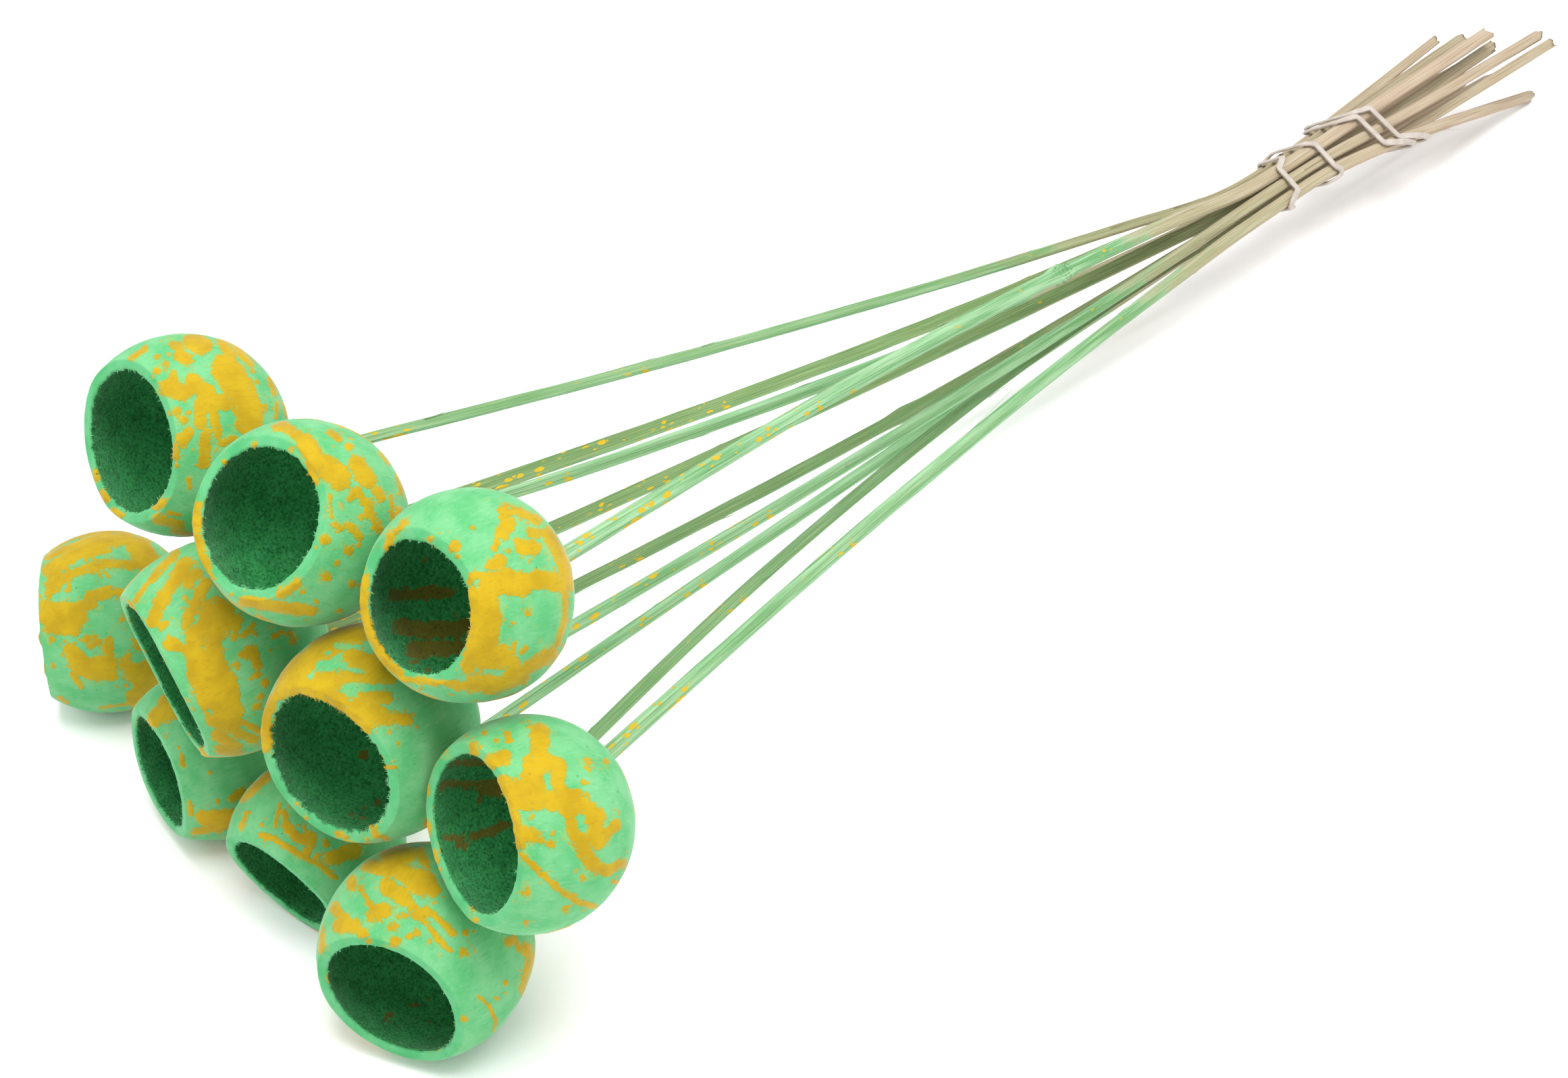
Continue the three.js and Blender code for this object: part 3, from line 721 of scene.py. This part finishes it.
def add_floor():
    near = -FLOOR_REACH
    far = FLOOR_REACH
    low = -FLOOR_DROP
    mesh = bpy.data.meshes.new("floor")
    corners = [(near, near, low), (far, near, low), (far, far, low), (near, far, low)]
    mesh.from_pydata(corners, [], [(0, 1, 2, 3)])
    mesh.materials.append(pale_floor())
    floor = bpy.data.objects.new("floor", mesh)
    bpy.context.scene.collection.objects.link(floor)


def add_light():
    scene = bpy.context.scene
    scene.view_settings.view_transform = "Standard"
    world = bpy.data.worlds.new("studio")
    world.use_nodes = True
    background = world.node_tree.nodes["Background"]
    background.inputs["Color"].default_value = (1.0, 1.0, 1.0, 1.0)
    background.inputs["Strength"].default_value = LIGHT_ALL_ROUND
    scene.world = world
    for box in SOFTBOXES:
        lamp = bpy.data.lights.new(box["name"], "AREA")
        lamp.size = box["size"]
        lamp.energy = box["power"]
        light = bpy.data.objects.new(box["name"], lamp)
        light.location = box["place"]
        x, y, z = box["place"]
        light.rotation_euler = (math.acos(z / math.hypot(x, y, z)), 0, math.atan2(x, -y))
        scene.collection.objects.link(light)


# Meshes

class Patchwork:
    """Points, faces and point values of a piece, gathered patch by patch."""

    def __init__(self):
        self.points = []
        self.faces = []
        self.finishes = []
        self.values = {}
        self.count = 0

    def add(self, points, faces, finish, **values):
        self.points.append(points)
        self.faces += [tuple(corner + self.count for corner in face) for face in faces]
        self.finishes += list(finish) if np.ndim(finish) else [finish] * len(faces)
        for name, value in values.items():
            self.values.setdefault(name, []).append(value)
        self.count += len(points)

    def piece(self, name, materials):
        """The finished object, from layout millimetres to the frame's metres."""
        mesh = bpy.data.meshes.new(name)
        places = (np.concatenate(self.points) + TIE_IN_FRAME) * MM
        mesh.from_pydata(places.tolist(), [], self.faces)
        for material in materials:
            mesh.materials.append(material)
        mesh.polygons.foreach_set("material_index", np.array(self.finishes, dtype=np.int32))
        mesh.polygons.foreach_set("use_smooth", np.ones(len(self.faces), dtype=bool))
        for value_name, parts in self.values.items():
            values = np.concatenate(parts).astype(np.float32)
            vector = values.ndim == 2
            layer = mesh.attributes.new(value_name, "FLOAT_VECTOR" if vector else "FLOAT", "POINT")
            layer.data.foreach_set("vector" if vector else "value", values.ravel())
        mesh.update()
        made = bpy.data.objects.new(name, mesh)
        bpy.context.scene.collection.objects.link(made)
        return made


def grid_faces(rings, sides):
    """Quads between closed rings of points that follow each other."""
    faces = []
    for ring in range(rings - 1):
        low = ring * sides
        for side in range(sides):
            after = (side + 1) % sides
            faces.append((low + side, low + after, low + sides + after, low + sides + side))
    return faces


def closed_faces(rings, sides):
    """The same, closed at both ends round two points that come after the rings."""
    faces = grid_faces(rings, sides)
    last = (rings - 1) * sides
    pole = rings * sides
    for side in range(sides):
        after = (side + 1) % sides
        faces.append((pole, after, side))
        faces.append((pole + 1, last + side, last + after))
    return faces


def spikes(roots, directions, lengths, widths):
    """Closed slim spikes, four points each: three round the root and the tip."""
    directions = unit(directions)
    helper = np.where(np.abs(directions[:, 2:]) < 0.9, (0.0, 0.0, 1.0), (1.0, 0.0, 0.0))
    side = unit(np.cross(directions, helper))
    other = np.cross(directions, side)
    points = np.empty((len(roots), 4, 3))
    for corner in range(3):
        angle = 2 * math.pi * corner / 3
        around = side * math.cos(angle) + other * math.sin(angle)
        points[:, corner] = roots + around * widths[:, None]
    points[:, 3] = roots + directions * lengths[:, None]
    faces = []
    for first in range(0, 4 * len(roots), 4):
        a, b, c, tip = range(first, first + 4)
        faces += [(a, b, tip), (b, c, tip), (c, a, tip), (a, c, b)]
    return points.reshape(-1, 3), faces


# Paint

def stroke_field(pixels, strokes):
    """How far inside the strokes each pixel place lies, in pixels, and below zero outside them."""
    field = np.full(len(pixels), -1000.0)
    for width, *route in strokes:
        core = max(1.0, FULL_STROKE / abs(width))
        points = np.array(route, dtype=float).reshape(-1, 2)
        ends = points[1:] if len(points) > 1 else points
        for start, end in zip(points, ends):
            along = end - start
            share = np.clip((pixels - start) @ along / max(along @ along, 1e-9), 0, 1)
            gap = np.linalg.norm(pixels - start - share[:, None] * along, axis=1)
            if width > 0:
                field = np.maximum(field, (width - gap) * core)
            else:
                field = np.minimum(field, (gap + width) * core)
    return field


def pixels_per_mm(places):
    depth = (places - CAMERA_PLACE) @ camera_axes()[2]
    return LENS / SENSOR * PHOTO_WIDTH / depth


def seen_share(places, normals, pod):
    """1 where the photograph shows a place of this cup, 0 on its far side or behind another cup."""
    sight = unit(CAMERA_PLACE - places)
    seen = smooth(0.02, 0.22, (normals * sight).sum(axis=1))
    for other in PODS:
        if other is pod:
            continue
        offset = np.array(other["centre"]) + TIE_IN_FRAME - places
        along = (offset * sight).sum(axis=1)
        gap = np.linalg.norm(offset - along[:, None] * sight, axis=1)
        hidden = (along > 0) * smooth(1.02, 0.94, gap / other["radius"])
        seen *= 1 - hidden
    return seen


def paint_depth(places, normals, pod, strokes, hidden):
    """Paint value in millimetres, above zero where painted, with a given value for hidden places."""
    shown = stroke_field(photo_pixels(places), strokes) / pixels_per_mm(places)
    seen = seen_share(places, normals, pod)
    depth = seen * np.clip(shown, -UNPAINTED, UNPAINTED) + (1 - seen) * hidden
    return np.clip(depth, -UNPAINTED, UNPAINTED)


# Cups

def mouth_direction(pod):
    yaw = math.radians(pod["yaw"])
    pitch = math.radians(pod["pitch"])
    level = math.cos(pitch)
    return np.array((-level * math.cos(yaw), level * math.sin(yaw), math.sin(pitch)))


def rounded(start, corner, end):
    """Points of a rounded edge, after its start."""
    share = np.linspace(0, 1, LIP_RINGS + 1)[1:, None]
    return start * (1 - share) ** 2 + 2 * corner * share * (1 - share) + end * share ** 2


def shell_profile(pod):
    """Radius and height of each ring, from the back up the outside, over the cut rim and down the lining."""
    radius = pod["radius"]
    rim_radius = pod["mouth"] * radius
    rim_angle = math.acos(pod["mouth"])
    rim_height = FRONT_STRETCH * radius * math.sin(rim_angle)
    lip_angle = math.asin((rim_height - LIP_ROUND) / (FRONT_STRETCH * radius))
    share = np.linspace(0, 1, OUTSIDE_RINGS + 1)[1:]
    closer = (share + 1 - (1 - share) ** RING_CROWDING) / 2
    outside = -math.pi / 2 + (lip_angle + math.pi / 2) * closer
    heights = radius * np.sin(outside) * np.where(outside > 0, FRONT_STRETCH, BACK_STRETCH)
    rings = [np.stack((radius * np.cos(outside), heights), axis=1)]

    inner_rim = rim_radius - WALL
    lip_start = rings[0][-1]
    lip_corner = np.array((rim_radius + LIP_SWELL, rim_height))
    lip_end = np.array((rim_radius - LIP_ROUND, rim_height))
    edge_start = np.array((inner_rim + EDGE_ROUND, rim_height))
    edge_corner = np.array((inner_rim, rim_height))
    edge_end = np.array((inner_rim, rim_height - EDGE_ROUND))
    rings.append(rounded(lip_start, lip_corner, lip_end))
    flat = np.linspace(0, 1, CUT_RINGS + 1)[1:, None]
    rings.append(lip_end + (edge_start - lip_end) * flat)
    rings.append(rounded(edge_start, edge_corner, edge_end))

    inner_radius = radius - WALL
    inner_angle = math.acos(inner_rim / inner_radius)
    inner_front = (rim_height - EDGE_ROUND) / math.sin(inner_angle)
    inner_back = BACK_STRETCH * radius - BASE
    lining = np.linspace(inner_angle, -math.pi / 2, LINING_RINGS + 1)[1:-1]
    depths = np.sin(lining) * np.where(lining > 0, inner_front, inner_back)
    rings.append(np.stack((inner_radius * np.cos(lining), depths), axis=1))
    return np.concatenate(rings), -BACK_STRETCH * radius, -inner_back


def swollen(points, pod):
    """The cup's slow lumps and the wave of its rim, as on the solid."""
    angle = np.arctan2(points[:, 2], points[:, 0])
    height = points[:, 1] / pod["radius"]
    phase = pod["phase"]
    factor = 1 + SWELL * (np.sin(2 * angle + phase) + np.sin(3 * angle + 2 * phase + 2 * height))
    wave = RIM_WAVE * pod["radius"] * np.maximum(0, height) * np.sin(3 * angle + 3 * phase)
    return np.stack((points[:, 0] * factor, points[:, 1] + wave, points[:, 2] * factor), axis=1)


def cup_surface(pod, seed):
    """Points of the shell in the cup's own frame, the ways out of its centre, and the zone of each point."""
    rings, back_pole, lining_pole = shell_profile(pod)
    angles = np.linspace(0, 2 * math.pi, SHELL_SIDES, endpoint=False)
    circle = np.stack((np.cos(angles), np.zeros(SHELL_SIDES), np.sin(angles)), axis=1)
    local = rings[:, None, :1] * circle[None] + rings[:, None, 1:] * np.array((0.0, 1.0, 0.0))
    poles = ((0.0, back_pole, 0.0), (0.0, lining_pole, 0.0))
    local = swollen(np.concatenate((local.reshape(-1, 3), poles)), pod)
    ring_of = np.concatenate((np.repeat(np.arange(len(rings)), SHELL_SIDES), (0, len(rings) - 1)))
    outside = ring_of < CUT_RING
    lining = ring_of > EDGE_RING
    cut = smooth(CUT_RING - 1, CUT_RING + 1, ring_of) * (1 - lining)

    # Dents outside, clumps of felt inside, a rough sawn rim, and teeth along its inner edge
    outward = unit(local)
    clumps = layers(local, FELT_CLUMPS, seed + 2) * smooth(EDGE_RING, EDGE_RING + SETTLING_RINGS, ring_of)
    local = local + outward * (layers(local, DENTS, seed) * outside + clumps * lining)[:, None]
    local[:, 1] += layers(local, SAW_MARKS, seed + 4) * cut
    angle = np.arctan2(local[:, 2], local[:, 0])
    round_mouth = np.stack((np.cos(angle), np.sin(angle), np.zeros(len(angle))), axis=1) * pod["radius"]
    teeth = layers(round_mouth, EDGE_TEETH, seed + 6) + EDGE_INWARD
    at_edge = np.exp(-((ring_of - EDGE_RING) / EDGE_SPREAD) ** 2)
    axis_radius = np.maximum(np.hypot(local[:, 0], local[:, 2]), 1e-6)
    local[:, (0, 2)] *= (1 - pod["fray"] * teeth * at_edge / axis_radius)[:, None]
    return local, outward, outside, lining, cut


def add_hairs(work, hairs, count, local, places, turn, paint, random):
    """Hairs on the cup's rim or lining, rooted at random points of their rings."""
    first, end = hairs["rings"]
    roots = random.integers(first * SHELL_SIDES, end * SHELL_SIDES, count)
    inward = unit(local[roots] * (1.0, 0.0, 1.0)) * -1
    way = inward * HAIR_INWARD + random.normal(0, HAIR_SCATTER, (count, 3))
    way = way + np.array((0.0, HAIR_FORWARD, 0.0))
    lengths = random.uniform(*hairs["length"], count)
    widths = random.uniform(*hairs["width"], count)
    points, faces = spikes(places[roots], way @ turn.T, lengths, widths)
    root_of = np.repeat(roots, 4)
    tip = np.tile((0.0, 0.0, 0.0, 1.0), count)
    # Each tip carries a painted sheen, which the felt's finish shows as a lighter colour
    work.add(points, faces, hairs["finish"], paint=paint[root_of], cut=np.full(len(points), HAIR_CUT),
             grain=local[root_of] + tip[:, None], nap=hairs["tip_sheen"] * tip)


def make_cup(pod, index, hole, hole_way, finishes):
    """The painted shell and its lining, with a dimple at the stem's hole and a flat spot on the table."""
    seed = SEED + 20 * index
    local, outward, outside, lining, cut = cup_surface(pod, seed)
    mouth = mouth_direction(pod)
    turn = turn_matrix(mouth)
    places = local @ turn.T + np.array(pod["centre"])
    facing = outward @ turn.T
    facing[lining] *= -1
    facing[~outside & ~lining] = mouth
    offset = places - hole
    beyond = offset @ hole_way
    aside = np.linalg.norm(offset - beyond[:, None] * hole_way, axis=1)
    sunk = HOLE_DEPTH * smooth(HOLE_RIM, HOLE_RADIUS, aside) * outside * (beyond > -HOLE_REACH)
    places = places - hole_way * sunk[:, None]
    places[:, 2] = np.maximum(places[:, 2], 0)

    # Paint, and its thickness
    in_frame = places + TIE_IN_FRAME
    blotches = layers(local, HIDDEN_PAINT, seed + 8) - HIDDEN_SHORT
    paint = paint_depth(in_frame, facing, pod, PAINT_STROKES[pod["name"]], blotches)
    stain = paint_depth(in_frame, facing, pod, LINING_STROKES.get(pod["name"], ()), -UNPAINTED)
    paint = np.where(lining, stain, paint)
    coat = PAINT_COAT + RIM_COAT * cut * (0.6 + lumps(local, RIM_COAT_LUMP, seed + 10))
    places = places + facing * (coat * smooth(-0.2, 0.5, paint) * ~lining)[:, None]
    places[:, 2] = np.maximum(places[:, 2], 0)

    rings = len(places) // SHELL_SIDES
    back = rings * SHELL_SIDES
    faces = closed_faces(rings, SHELL_SIDES)
    finish = [int(face[0] != back and face[0] // SHELL_SIDES >= EDGE_RING) for face in faces]
    work = Patchwork()
    work.add(places, [face[::-1] for face in faces], finish, paint=paint, cut=cut, grain=local,
             nap=np.zeros(len(places)))

    random = np.random.default_rng(seed)
    for hairs, share in ((RIM_TEETH, pod["fray"]), (FELT_NAP, 1)):
        add_hairs(work, hairs, int(hairs["count"] * share), local, places, turn, paint, random)
    return work.piece("shell_" + pod["name"], finishes)


# Stems

class Curve:
    """A centripetal curve through points, measured along its length."""

    def __init__(self, points):
        points = [np.array(point, dtype=float) for point in points]
        ends = [2 * points[0] - points[1], *points, 2 * points[-1] - points[-2]]
        dense = [points[0]]
        for before, start, stop, after in zip(ends, ends[1:], ends[2:], ends[3:]):
            gaps = [max(np.linalg.norm(b - a), 1e-6) ** 0.5 for a, b in
                    ((before, start), (start, stop), (stop, after))]
            step = (stop - start) / gaps[1]
            leave = (start - before) / gaps[0] - (stop - before) / (gaps[0] + gaps[1]) + step
            reach = step - (after - start) / (gaps[1] + gaps[2]) + (after - stop) / gaps[2]
            leave = leave * gaps[1]
            reach = reach * gaps[1]
            for share in np.linspace(0, 1, CURVE_STEPS + 1)[1:]:
                square = 3 * (stop - start) - 2 * leave - reach
                cube = 2 * (start - stop) + leave + reach
                dense.append(start + leave * share + square * share ** 2 + cube * share ** 3)
        self.dense = np.array(dense)
        steps = np.linalg.norm(np.diff(self.dense, axis=0), axis=1)
        self.lengths = np.concatenate(((0.0,), np.cumsum(steps)))
        self.length = self.lengths[-1]

    def at(self, along):
        return rows_at(along, self.lengths, self.dense)

    def way(self, along):
        return unit(self.at(np.minimum(along + 0.5, self.length)) - self.at(np.maximum(along - 0.5, 0)))

    def at_x(self, x):
        """Places where the curve passes given x, for the stretch at the tie, where x grows all the way."""
        return rows_at(x, self.dense[:, 0], self.dense)


def tie_slot(pod, station):
    *middle, scale = station
    turn = math.radians(TIE_TURN)
    right = pod["slot"][0] * TIE_PITCH * scale
    up = pod["slot"][1] * TIE_PITCH * scale * math.sin(math.pi / 3)
    y = up * math.sin(turn) - right * math.cos(turn)
    z = up * math.cos(turn) + right * math.sin(turn)
    return np.array(middle) + (0.0, y, z)


def stem_root(pod):
    """Where the stem leaves the back of its cup, and the way it goes."""
    depth = BACK_STRETCH * pod["radius"]
    hole_y, hole_z = pod["hole"]
    back = math.sqrt(depth ** 2 - hole_y ** 2 - hole_z ** 2)
    root = np.array(pod["centre"]) + (back, hole_y, hole_z)
    return root, unit(tie_slot(pod, TIE_STATIONS[0]) - root)


def stem_curve(pod):
    root, along = stem_root(pod)
    tie = [tie_slot(pod, station) for station in TIE_STATIONS]
    bow = np.array((0.0, *pod["bow"]))
    points = [root - along * SOCKET_DEPTH]
    for share in BOW_SHARES:
        points.append(root + (tie[0] - root) * share + bow * 4 * share * (1 - share))
    return Curve(points + tie + [pod["end"]])


class Stem:
    """The rings of a stem: how far along they lie, their centres, their axes and their half widths."""

    def __init__(self, pod, curve):
        self.curve = curve
        self.along = np.linspace(0, curve.length, STEM_RINGS)
        self.share = self.along / curve.length
        self.centres = curve.at(self.along)
        self.ways = curve.way(self.along)
        self.across = unit(np.cross((0.0, 0.0, 1.0), self.ways))
        self.over = np.cross(self.ways, self.across)
        self.half = pod["girth"] * (STEM_AT_CUP + (STEM_AT_END - STEM_AT_CUP) * self.share) / 2

    def rows(self, along):
        """The rings next to places along the stem."""
        return np.searchsorted(self.along, along).clip(0, STEM_RINGS - 1)


def knot_place(knot, stem):
    """How far along the stem the knot sits."""
    shown = photo_pixels(stem.centres + TIE_IN_FRAME)
    return stem.along[np.argmin(np.linalg.norm(shown - knot["pixel"], axis=1))]


def stem_wall(pod, index, seed, stem, swelling):
    """Offsets of the wall to the right and up, its share of split face, its angles and fibre places."""
    turns = np.linspace(0, 2 * math.pi, STEM_SIDES, endpoint=False)
    half = stem.half[:, None]
    side = np.sin(turns)[None] * half
    rise = np.cos(turns)[None] * half * STEM_FLATNESS
    rise = rise * np.where(np.cos(turns) < 0, STEM_FLAT_SIDE, 1)
    roll = math.radians(pod["roll"])
    right = side * math.cos(roll) - rise * math.sin(roll)
    up = side * math.sin(roll) + rise * math.cos(roll)
    angle = np.arctan2(up, right)
    level = np.cos(angle).ravel() * FIBRE_RADIUS
    upright = np.sin(angle).ravel() * FIBRE_RADIUS
    fibres = np.stack((level, upright, np.repeat(stem.along, STEM_SIDES)), axis=1)
    ridges = layers(fibres * (1.0, 1.0, RIDGE_DRAW), FIBRE_RIDGES, seed)
    bumps = layers(fibres * (1.0, 1.0, BUMP_DRAW), STEM_BUMPS, seed + 2)
    girth = 1 + (ridges + bumps).reshape(angle.shape) / half
    girth = girth + swelling[:, None] / half * (1 + 0.4 * np.sin(3 * angle))
    right = right * girth
    up = up * girth

    # The split face, a little hollow
    facing = math.radians(pod["face"] + 8 * math.sin(index))
    depth = right * math.cos(facing) + up * math.sin(facing)
    face_depth = half * pod["cut"]
    past = (depth - face_depth) / half
    split = smooth(-0.1, 0.12, past)
    sunk = np.where(depth > face_depth, depth - face_depth + SPLIT_HOLLOW * smooth(0.1, 0.5, past), 0)
    return right - sunk * math.cos(facing), up - sunk * math.sin(facing), split, angle, fibres


def cut_back(right, up, angle, fibres, along, seed, random):
    """How far the wall moves along the stem near its cut end, which is slanted, frayed and notched."""
    slant_way = random.uniform(0, 2 * math.pi)
    slant = (right * math.cos(slant_way) + up * math.sin(slant_way)) * random.uniform(0.3, 1.1)
    fray = layers(fibres * (1.0, 1.0, 0.0), END_FRAY, seed + 3).reshape(angle.shape)
    near_end = smooth(along[-1] - END_LENGTH, along[-1], along)[:, None]
    notch = smooth(0.75, 1.0, np.cos(angle - random.uniform(0, 2 * math.pi))) * random.uniform(1.0, 4.0)
    return -np.abs(slant + fray) * near_end - notch * near_end


def stem_dyes(pod, stem, split, fibres):
    """What the stem's finish follows at each point: its grain, and how strong each of its colours is."""
    length = stem.curve.length
    run = np.concatenate((np.repeat(stem.share, STEM_SIDES), (0.0, 1.0)))
    mint = 0.25 + pod["mint"] * (1 - smooth(0.3, 0.72, run)) * 0.75
    mint = mint - 0.25 * smooth(0.5, 0.68, run)
    olive = np.concatenate((split.ravel(), (0.0, 0.0))) * pod["olive"]
    past_flecks = np.maximum(run * length - FLECKED_LENGTH, 0)
    return dict(
        grain=np.concatenate((fibres, ((0.0, 0.0, 0.0), (0.0, 0.0, length)))),
        mint=mint,
        olive=olive * (1 - 0.75 * smooth(0.5, 0.8, run)),
        pink=smooth(*PINK_RUN, run),
        fleck=pod["fleck"] * np.exp(-past_flecks / (30 + 60 * pod["fleck"])),
    )


def add_strand(work, pod, stem, fibres, random):
    """A loose fibre lifting off the stem."""
    length = stem.curve.length
    start = random.uniform(0.04, 0.9) * length
    stop = min(start + random.uniform(12, 40), length)
    spots = np.linspace(start, stop, STRAND_RINGS)
    ease = np.linspace(0, 1, STRAND_RINGS)
    lift = random.uniform(0.4, 2.2) * ease ** 2
    way = random.uniform(0, 2 * math.pi)
    row = stem.rows(spots)
    out = stem.across[row] * math.cos(way) + stem.over[row] * math.sin(way)
    beside = np.cross(stem.curve.way(spots), out)
    middle = stem.curve.at(spots) + out * (stem.half[row] * 0.92 + lift)[:, None]
    thick = STRAND_HALF * (1 - 0.8 * ease)[:, None]
    rounds = [out * math.cos(turn) + beside * math.sin(turn) for turn in STRAND_CORNERS]
    points = np.stack([middle + around * thick for around in rounds], axis=1).reshape(-1, 3)
    points[:, 2] = np.maximum(points[:, 2], STRAND_FLOOR)
    sides = len(STRAND_CORNERS)
    tip = sides * (STRAND_RINGS - 1)
    faces = grid_faces(STRAND_RINGS, sides) + [(2, 1, 0), (tip, tip + 1, tip + 2)]
    run = np.repeat(spots / length, sides)
    none = np.zeros(len(points))
    work.add(points, faces, 0, grain=np.repeat(fibres[row * STEM_SIDES], sides, axis=0),
             mint=0.2 + pod["mint"] * (1 - smooth(0.2, 0.7, run)) * 0.6, olive=none,
             pink=smooth(*PINK_RUN, run), fleck=none)


def add_fuzz(work, stem, knot_at, places, dyes, random):
    """Short hairs round a knot, dyed like the stem but without specks."""
    rows = stem.rows(random.normal(knot_at, KNOT_SPREAD, KNOT_HAIRS))
    roots = rows * STEM_SIDES + random.integers(0, STEM_SIDES, KNOT_HAIRS)
    out = unit(places[roots] - stem.centres[rows]) + random.normal(0, 0.5, (KNOT_HAIRS, 3))
    lengths = random.uniform(0.5, 1.6, KNOT_HAIRS)
    points, faces = spikes(places[roots], out, lengths, np.full(KNOT_HAIRS, KNOT_HAIR_WIDTH))
    root_of = np.repeat(roots, 4)
    taken = {name: value[root_of] for name, value in dyes.items()}
    taken["fleck"] = np.zeros(len(points))
    work.add(points, faces, 0, **taken)


def make_stem(pod, index, curve, finish):
    """The split rib with its knot, its cut end and its loose fibres."""
    seed = SEED + STEM_SEED + 20 * index
    random = np.random.default_rng(seed)
    stem = Stem(pod, curve)
    knot = KNOTS.get(pod["name"])
    swelling = np.zeros(STEM_RINGS)
    if knot:
        knot_at = knot_place(knot, stem)
        swelling = knot["height"] * np.exp(-((stem.along - knot_at) / knot["length"]) ** 2)
    right, up, split, angle, fibres = stem_wall(pod, index, seed, stem, swelling)
    back = cut_back(right, up, angle, fibres, stem.along, seed, random)
    places = stem.centres[:, None] + stem.across[:, None] * right[..., None]
    places = places + stem.over[:, None] * up[..., None] + stem.ways[:, None] * back[..., None]
    places = places.reshape(-1, 3)
    places[:, 2] = np.maximum(places[:, 2], 0)
    ends = np.array((stem.centres[0], stem.centres[-1] - stem.ways[-1] * END_DIMPLE))
    dyes = stem_dyes(pod, stem, split, fibres)
    work = Patchwork()
    work.add(np.concatenate((places, ends)), closed_faces(STEM_RINGS, STEM_SIDES), 0, **dyes)
    for _ in range(LOOSE_FIBRES):
        add_strand(work, pod, stem, fibres, random)
    if knot and knot["fuzzy"]:
        add_fuzz(work, stem, knot_at, places, dyes, random)
    return work.piece("stem_" + pod["name"] + "_fibres", [finish])


# Rubber bands

def squarer(value):
    """A sine or cosine that makes a rounded rectangle in place of a round."""
    return math.copysign(abs(value) ** BAND_SQUARENESS, value)


def band_route(band, curves):
    """Two turns round the outermost stems, one over the other where they cross, and the ways out there."""
    crossing = math.radians(band["crossing"])
    winding = np.linspace(0, 4 * math.pi, BAND_WINDINGS, endpoint=False)
    slant = -np.cos(winding - math.radians(BAND_SLANT_ANGLE))
    shift = np.sin((winding - crossing) / 2)
    x = band["x"] + band["spread"] * shift + (band["slant"] + band["skew"] * shift) * slant
    apart = 2 * band["spread"] * np.abs(shift)
    over = (winding > 2 * math.pi) * (1 - smooth(BAND_WIDTH, 2 * band["spread"], apart))
    outward = np.stack((0 * winding, -np.cos(winding), np.sin(winding)), axis=1)
    reach = np.full(len(winding), -np.inf)
    places = np.zeros((len(winding), 3))
    for pod, curve in zip(PODS, curves):
        outside = curve.at_x(x) + outward * BAND_STEM_RADIUS * pod["girth"]
        further = (outside * outward).sum(axis=1)
        places = np.where((further > reach)[:, None], outside, places)
        reach = np.maximum(reach, further)
    lift = BAND_GAP + BAND_THICKNESS / 2 + over * (BAND_THICKNESS + FIT_GAP)
    return places + outward * lift[:, None], outward


def make_band(band, curves, finish):
    """A rubber band in even steps along its route, with a rounded flat section."""
    places, outward = band_route(band, curves)
    loop = np.concatenate((places, places[:1]))
    lengths = np.concatenate(((0.0,), np.cumsum(np.linalg.norm(np.diff(loop, axis=0), axis=1))))
    even = np.linspace(0, lengths[-1], BAND_RINGS, endpoint=False)
    middle = rows_at(even, lengths, loop)
    out = unit(rows_at(even, lengths, np.concatenate((outward, outward[:1]))))
    for _ in range(BAND_SMOOTHINGS):
        middle = eased(middle)
        out = unit(eased(out))
    along = unit(np.roll(middle, -1, axis=0) - np.roll(middle, 1, axis=0))
    beside = unit(np.cross(along, out))
    out = np.cross(beside, along)
    corners = []
    for corner in range(BAND_SIDES):
        angle = 2 * math.pi * (corner + 0.5) / BAND_SIDES
        wide = squarer(math.cos(angle)) * BAND_WIDTH / 2
        thick = squarer(math.sin(angle)) * BAND_THICKNESS / 2
        corners.append(middle + beside * wide + out * thick)
    points = np.stack(corners, axis=1).reshape(-1, 3)
    faces = grid_faces(BAND_RINGS + 1, BAND_SIDES)
    faces = [tuple(corner % len(points) for corner in face) for face in faces]
    work = Patchwork()
    work.add(points, faces, 0)
    return work.piece("rubber_" + band["name"], [finish])


# The bunch

def stand_for(piece, node):
    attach(piece, BODY)
    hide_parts(node)


add_camera()
add_floor()
add_light()
cup_finishes = [painted_shell(), felt_lining()]
stem_finish = split_stem()
band_finish = pale_rubber()
stem_curves = [stem_curve(pod) for pod in PODS]
for index, (pod, curve) in enumerate(zip(PODS, stem_curves)):
    root, way = stem_root(pod)
    stand_for(make_cup(pod, index, root, way, cup_finishes), "cup_" + pod["name"])
    stand_for(make_stem(pod, index, curve, stem_finish), "stem_" + pod["name"])
for band in BANDS:
    stand_for(make_band(band, stem_curves, band_finish), "band_" + band["name"])
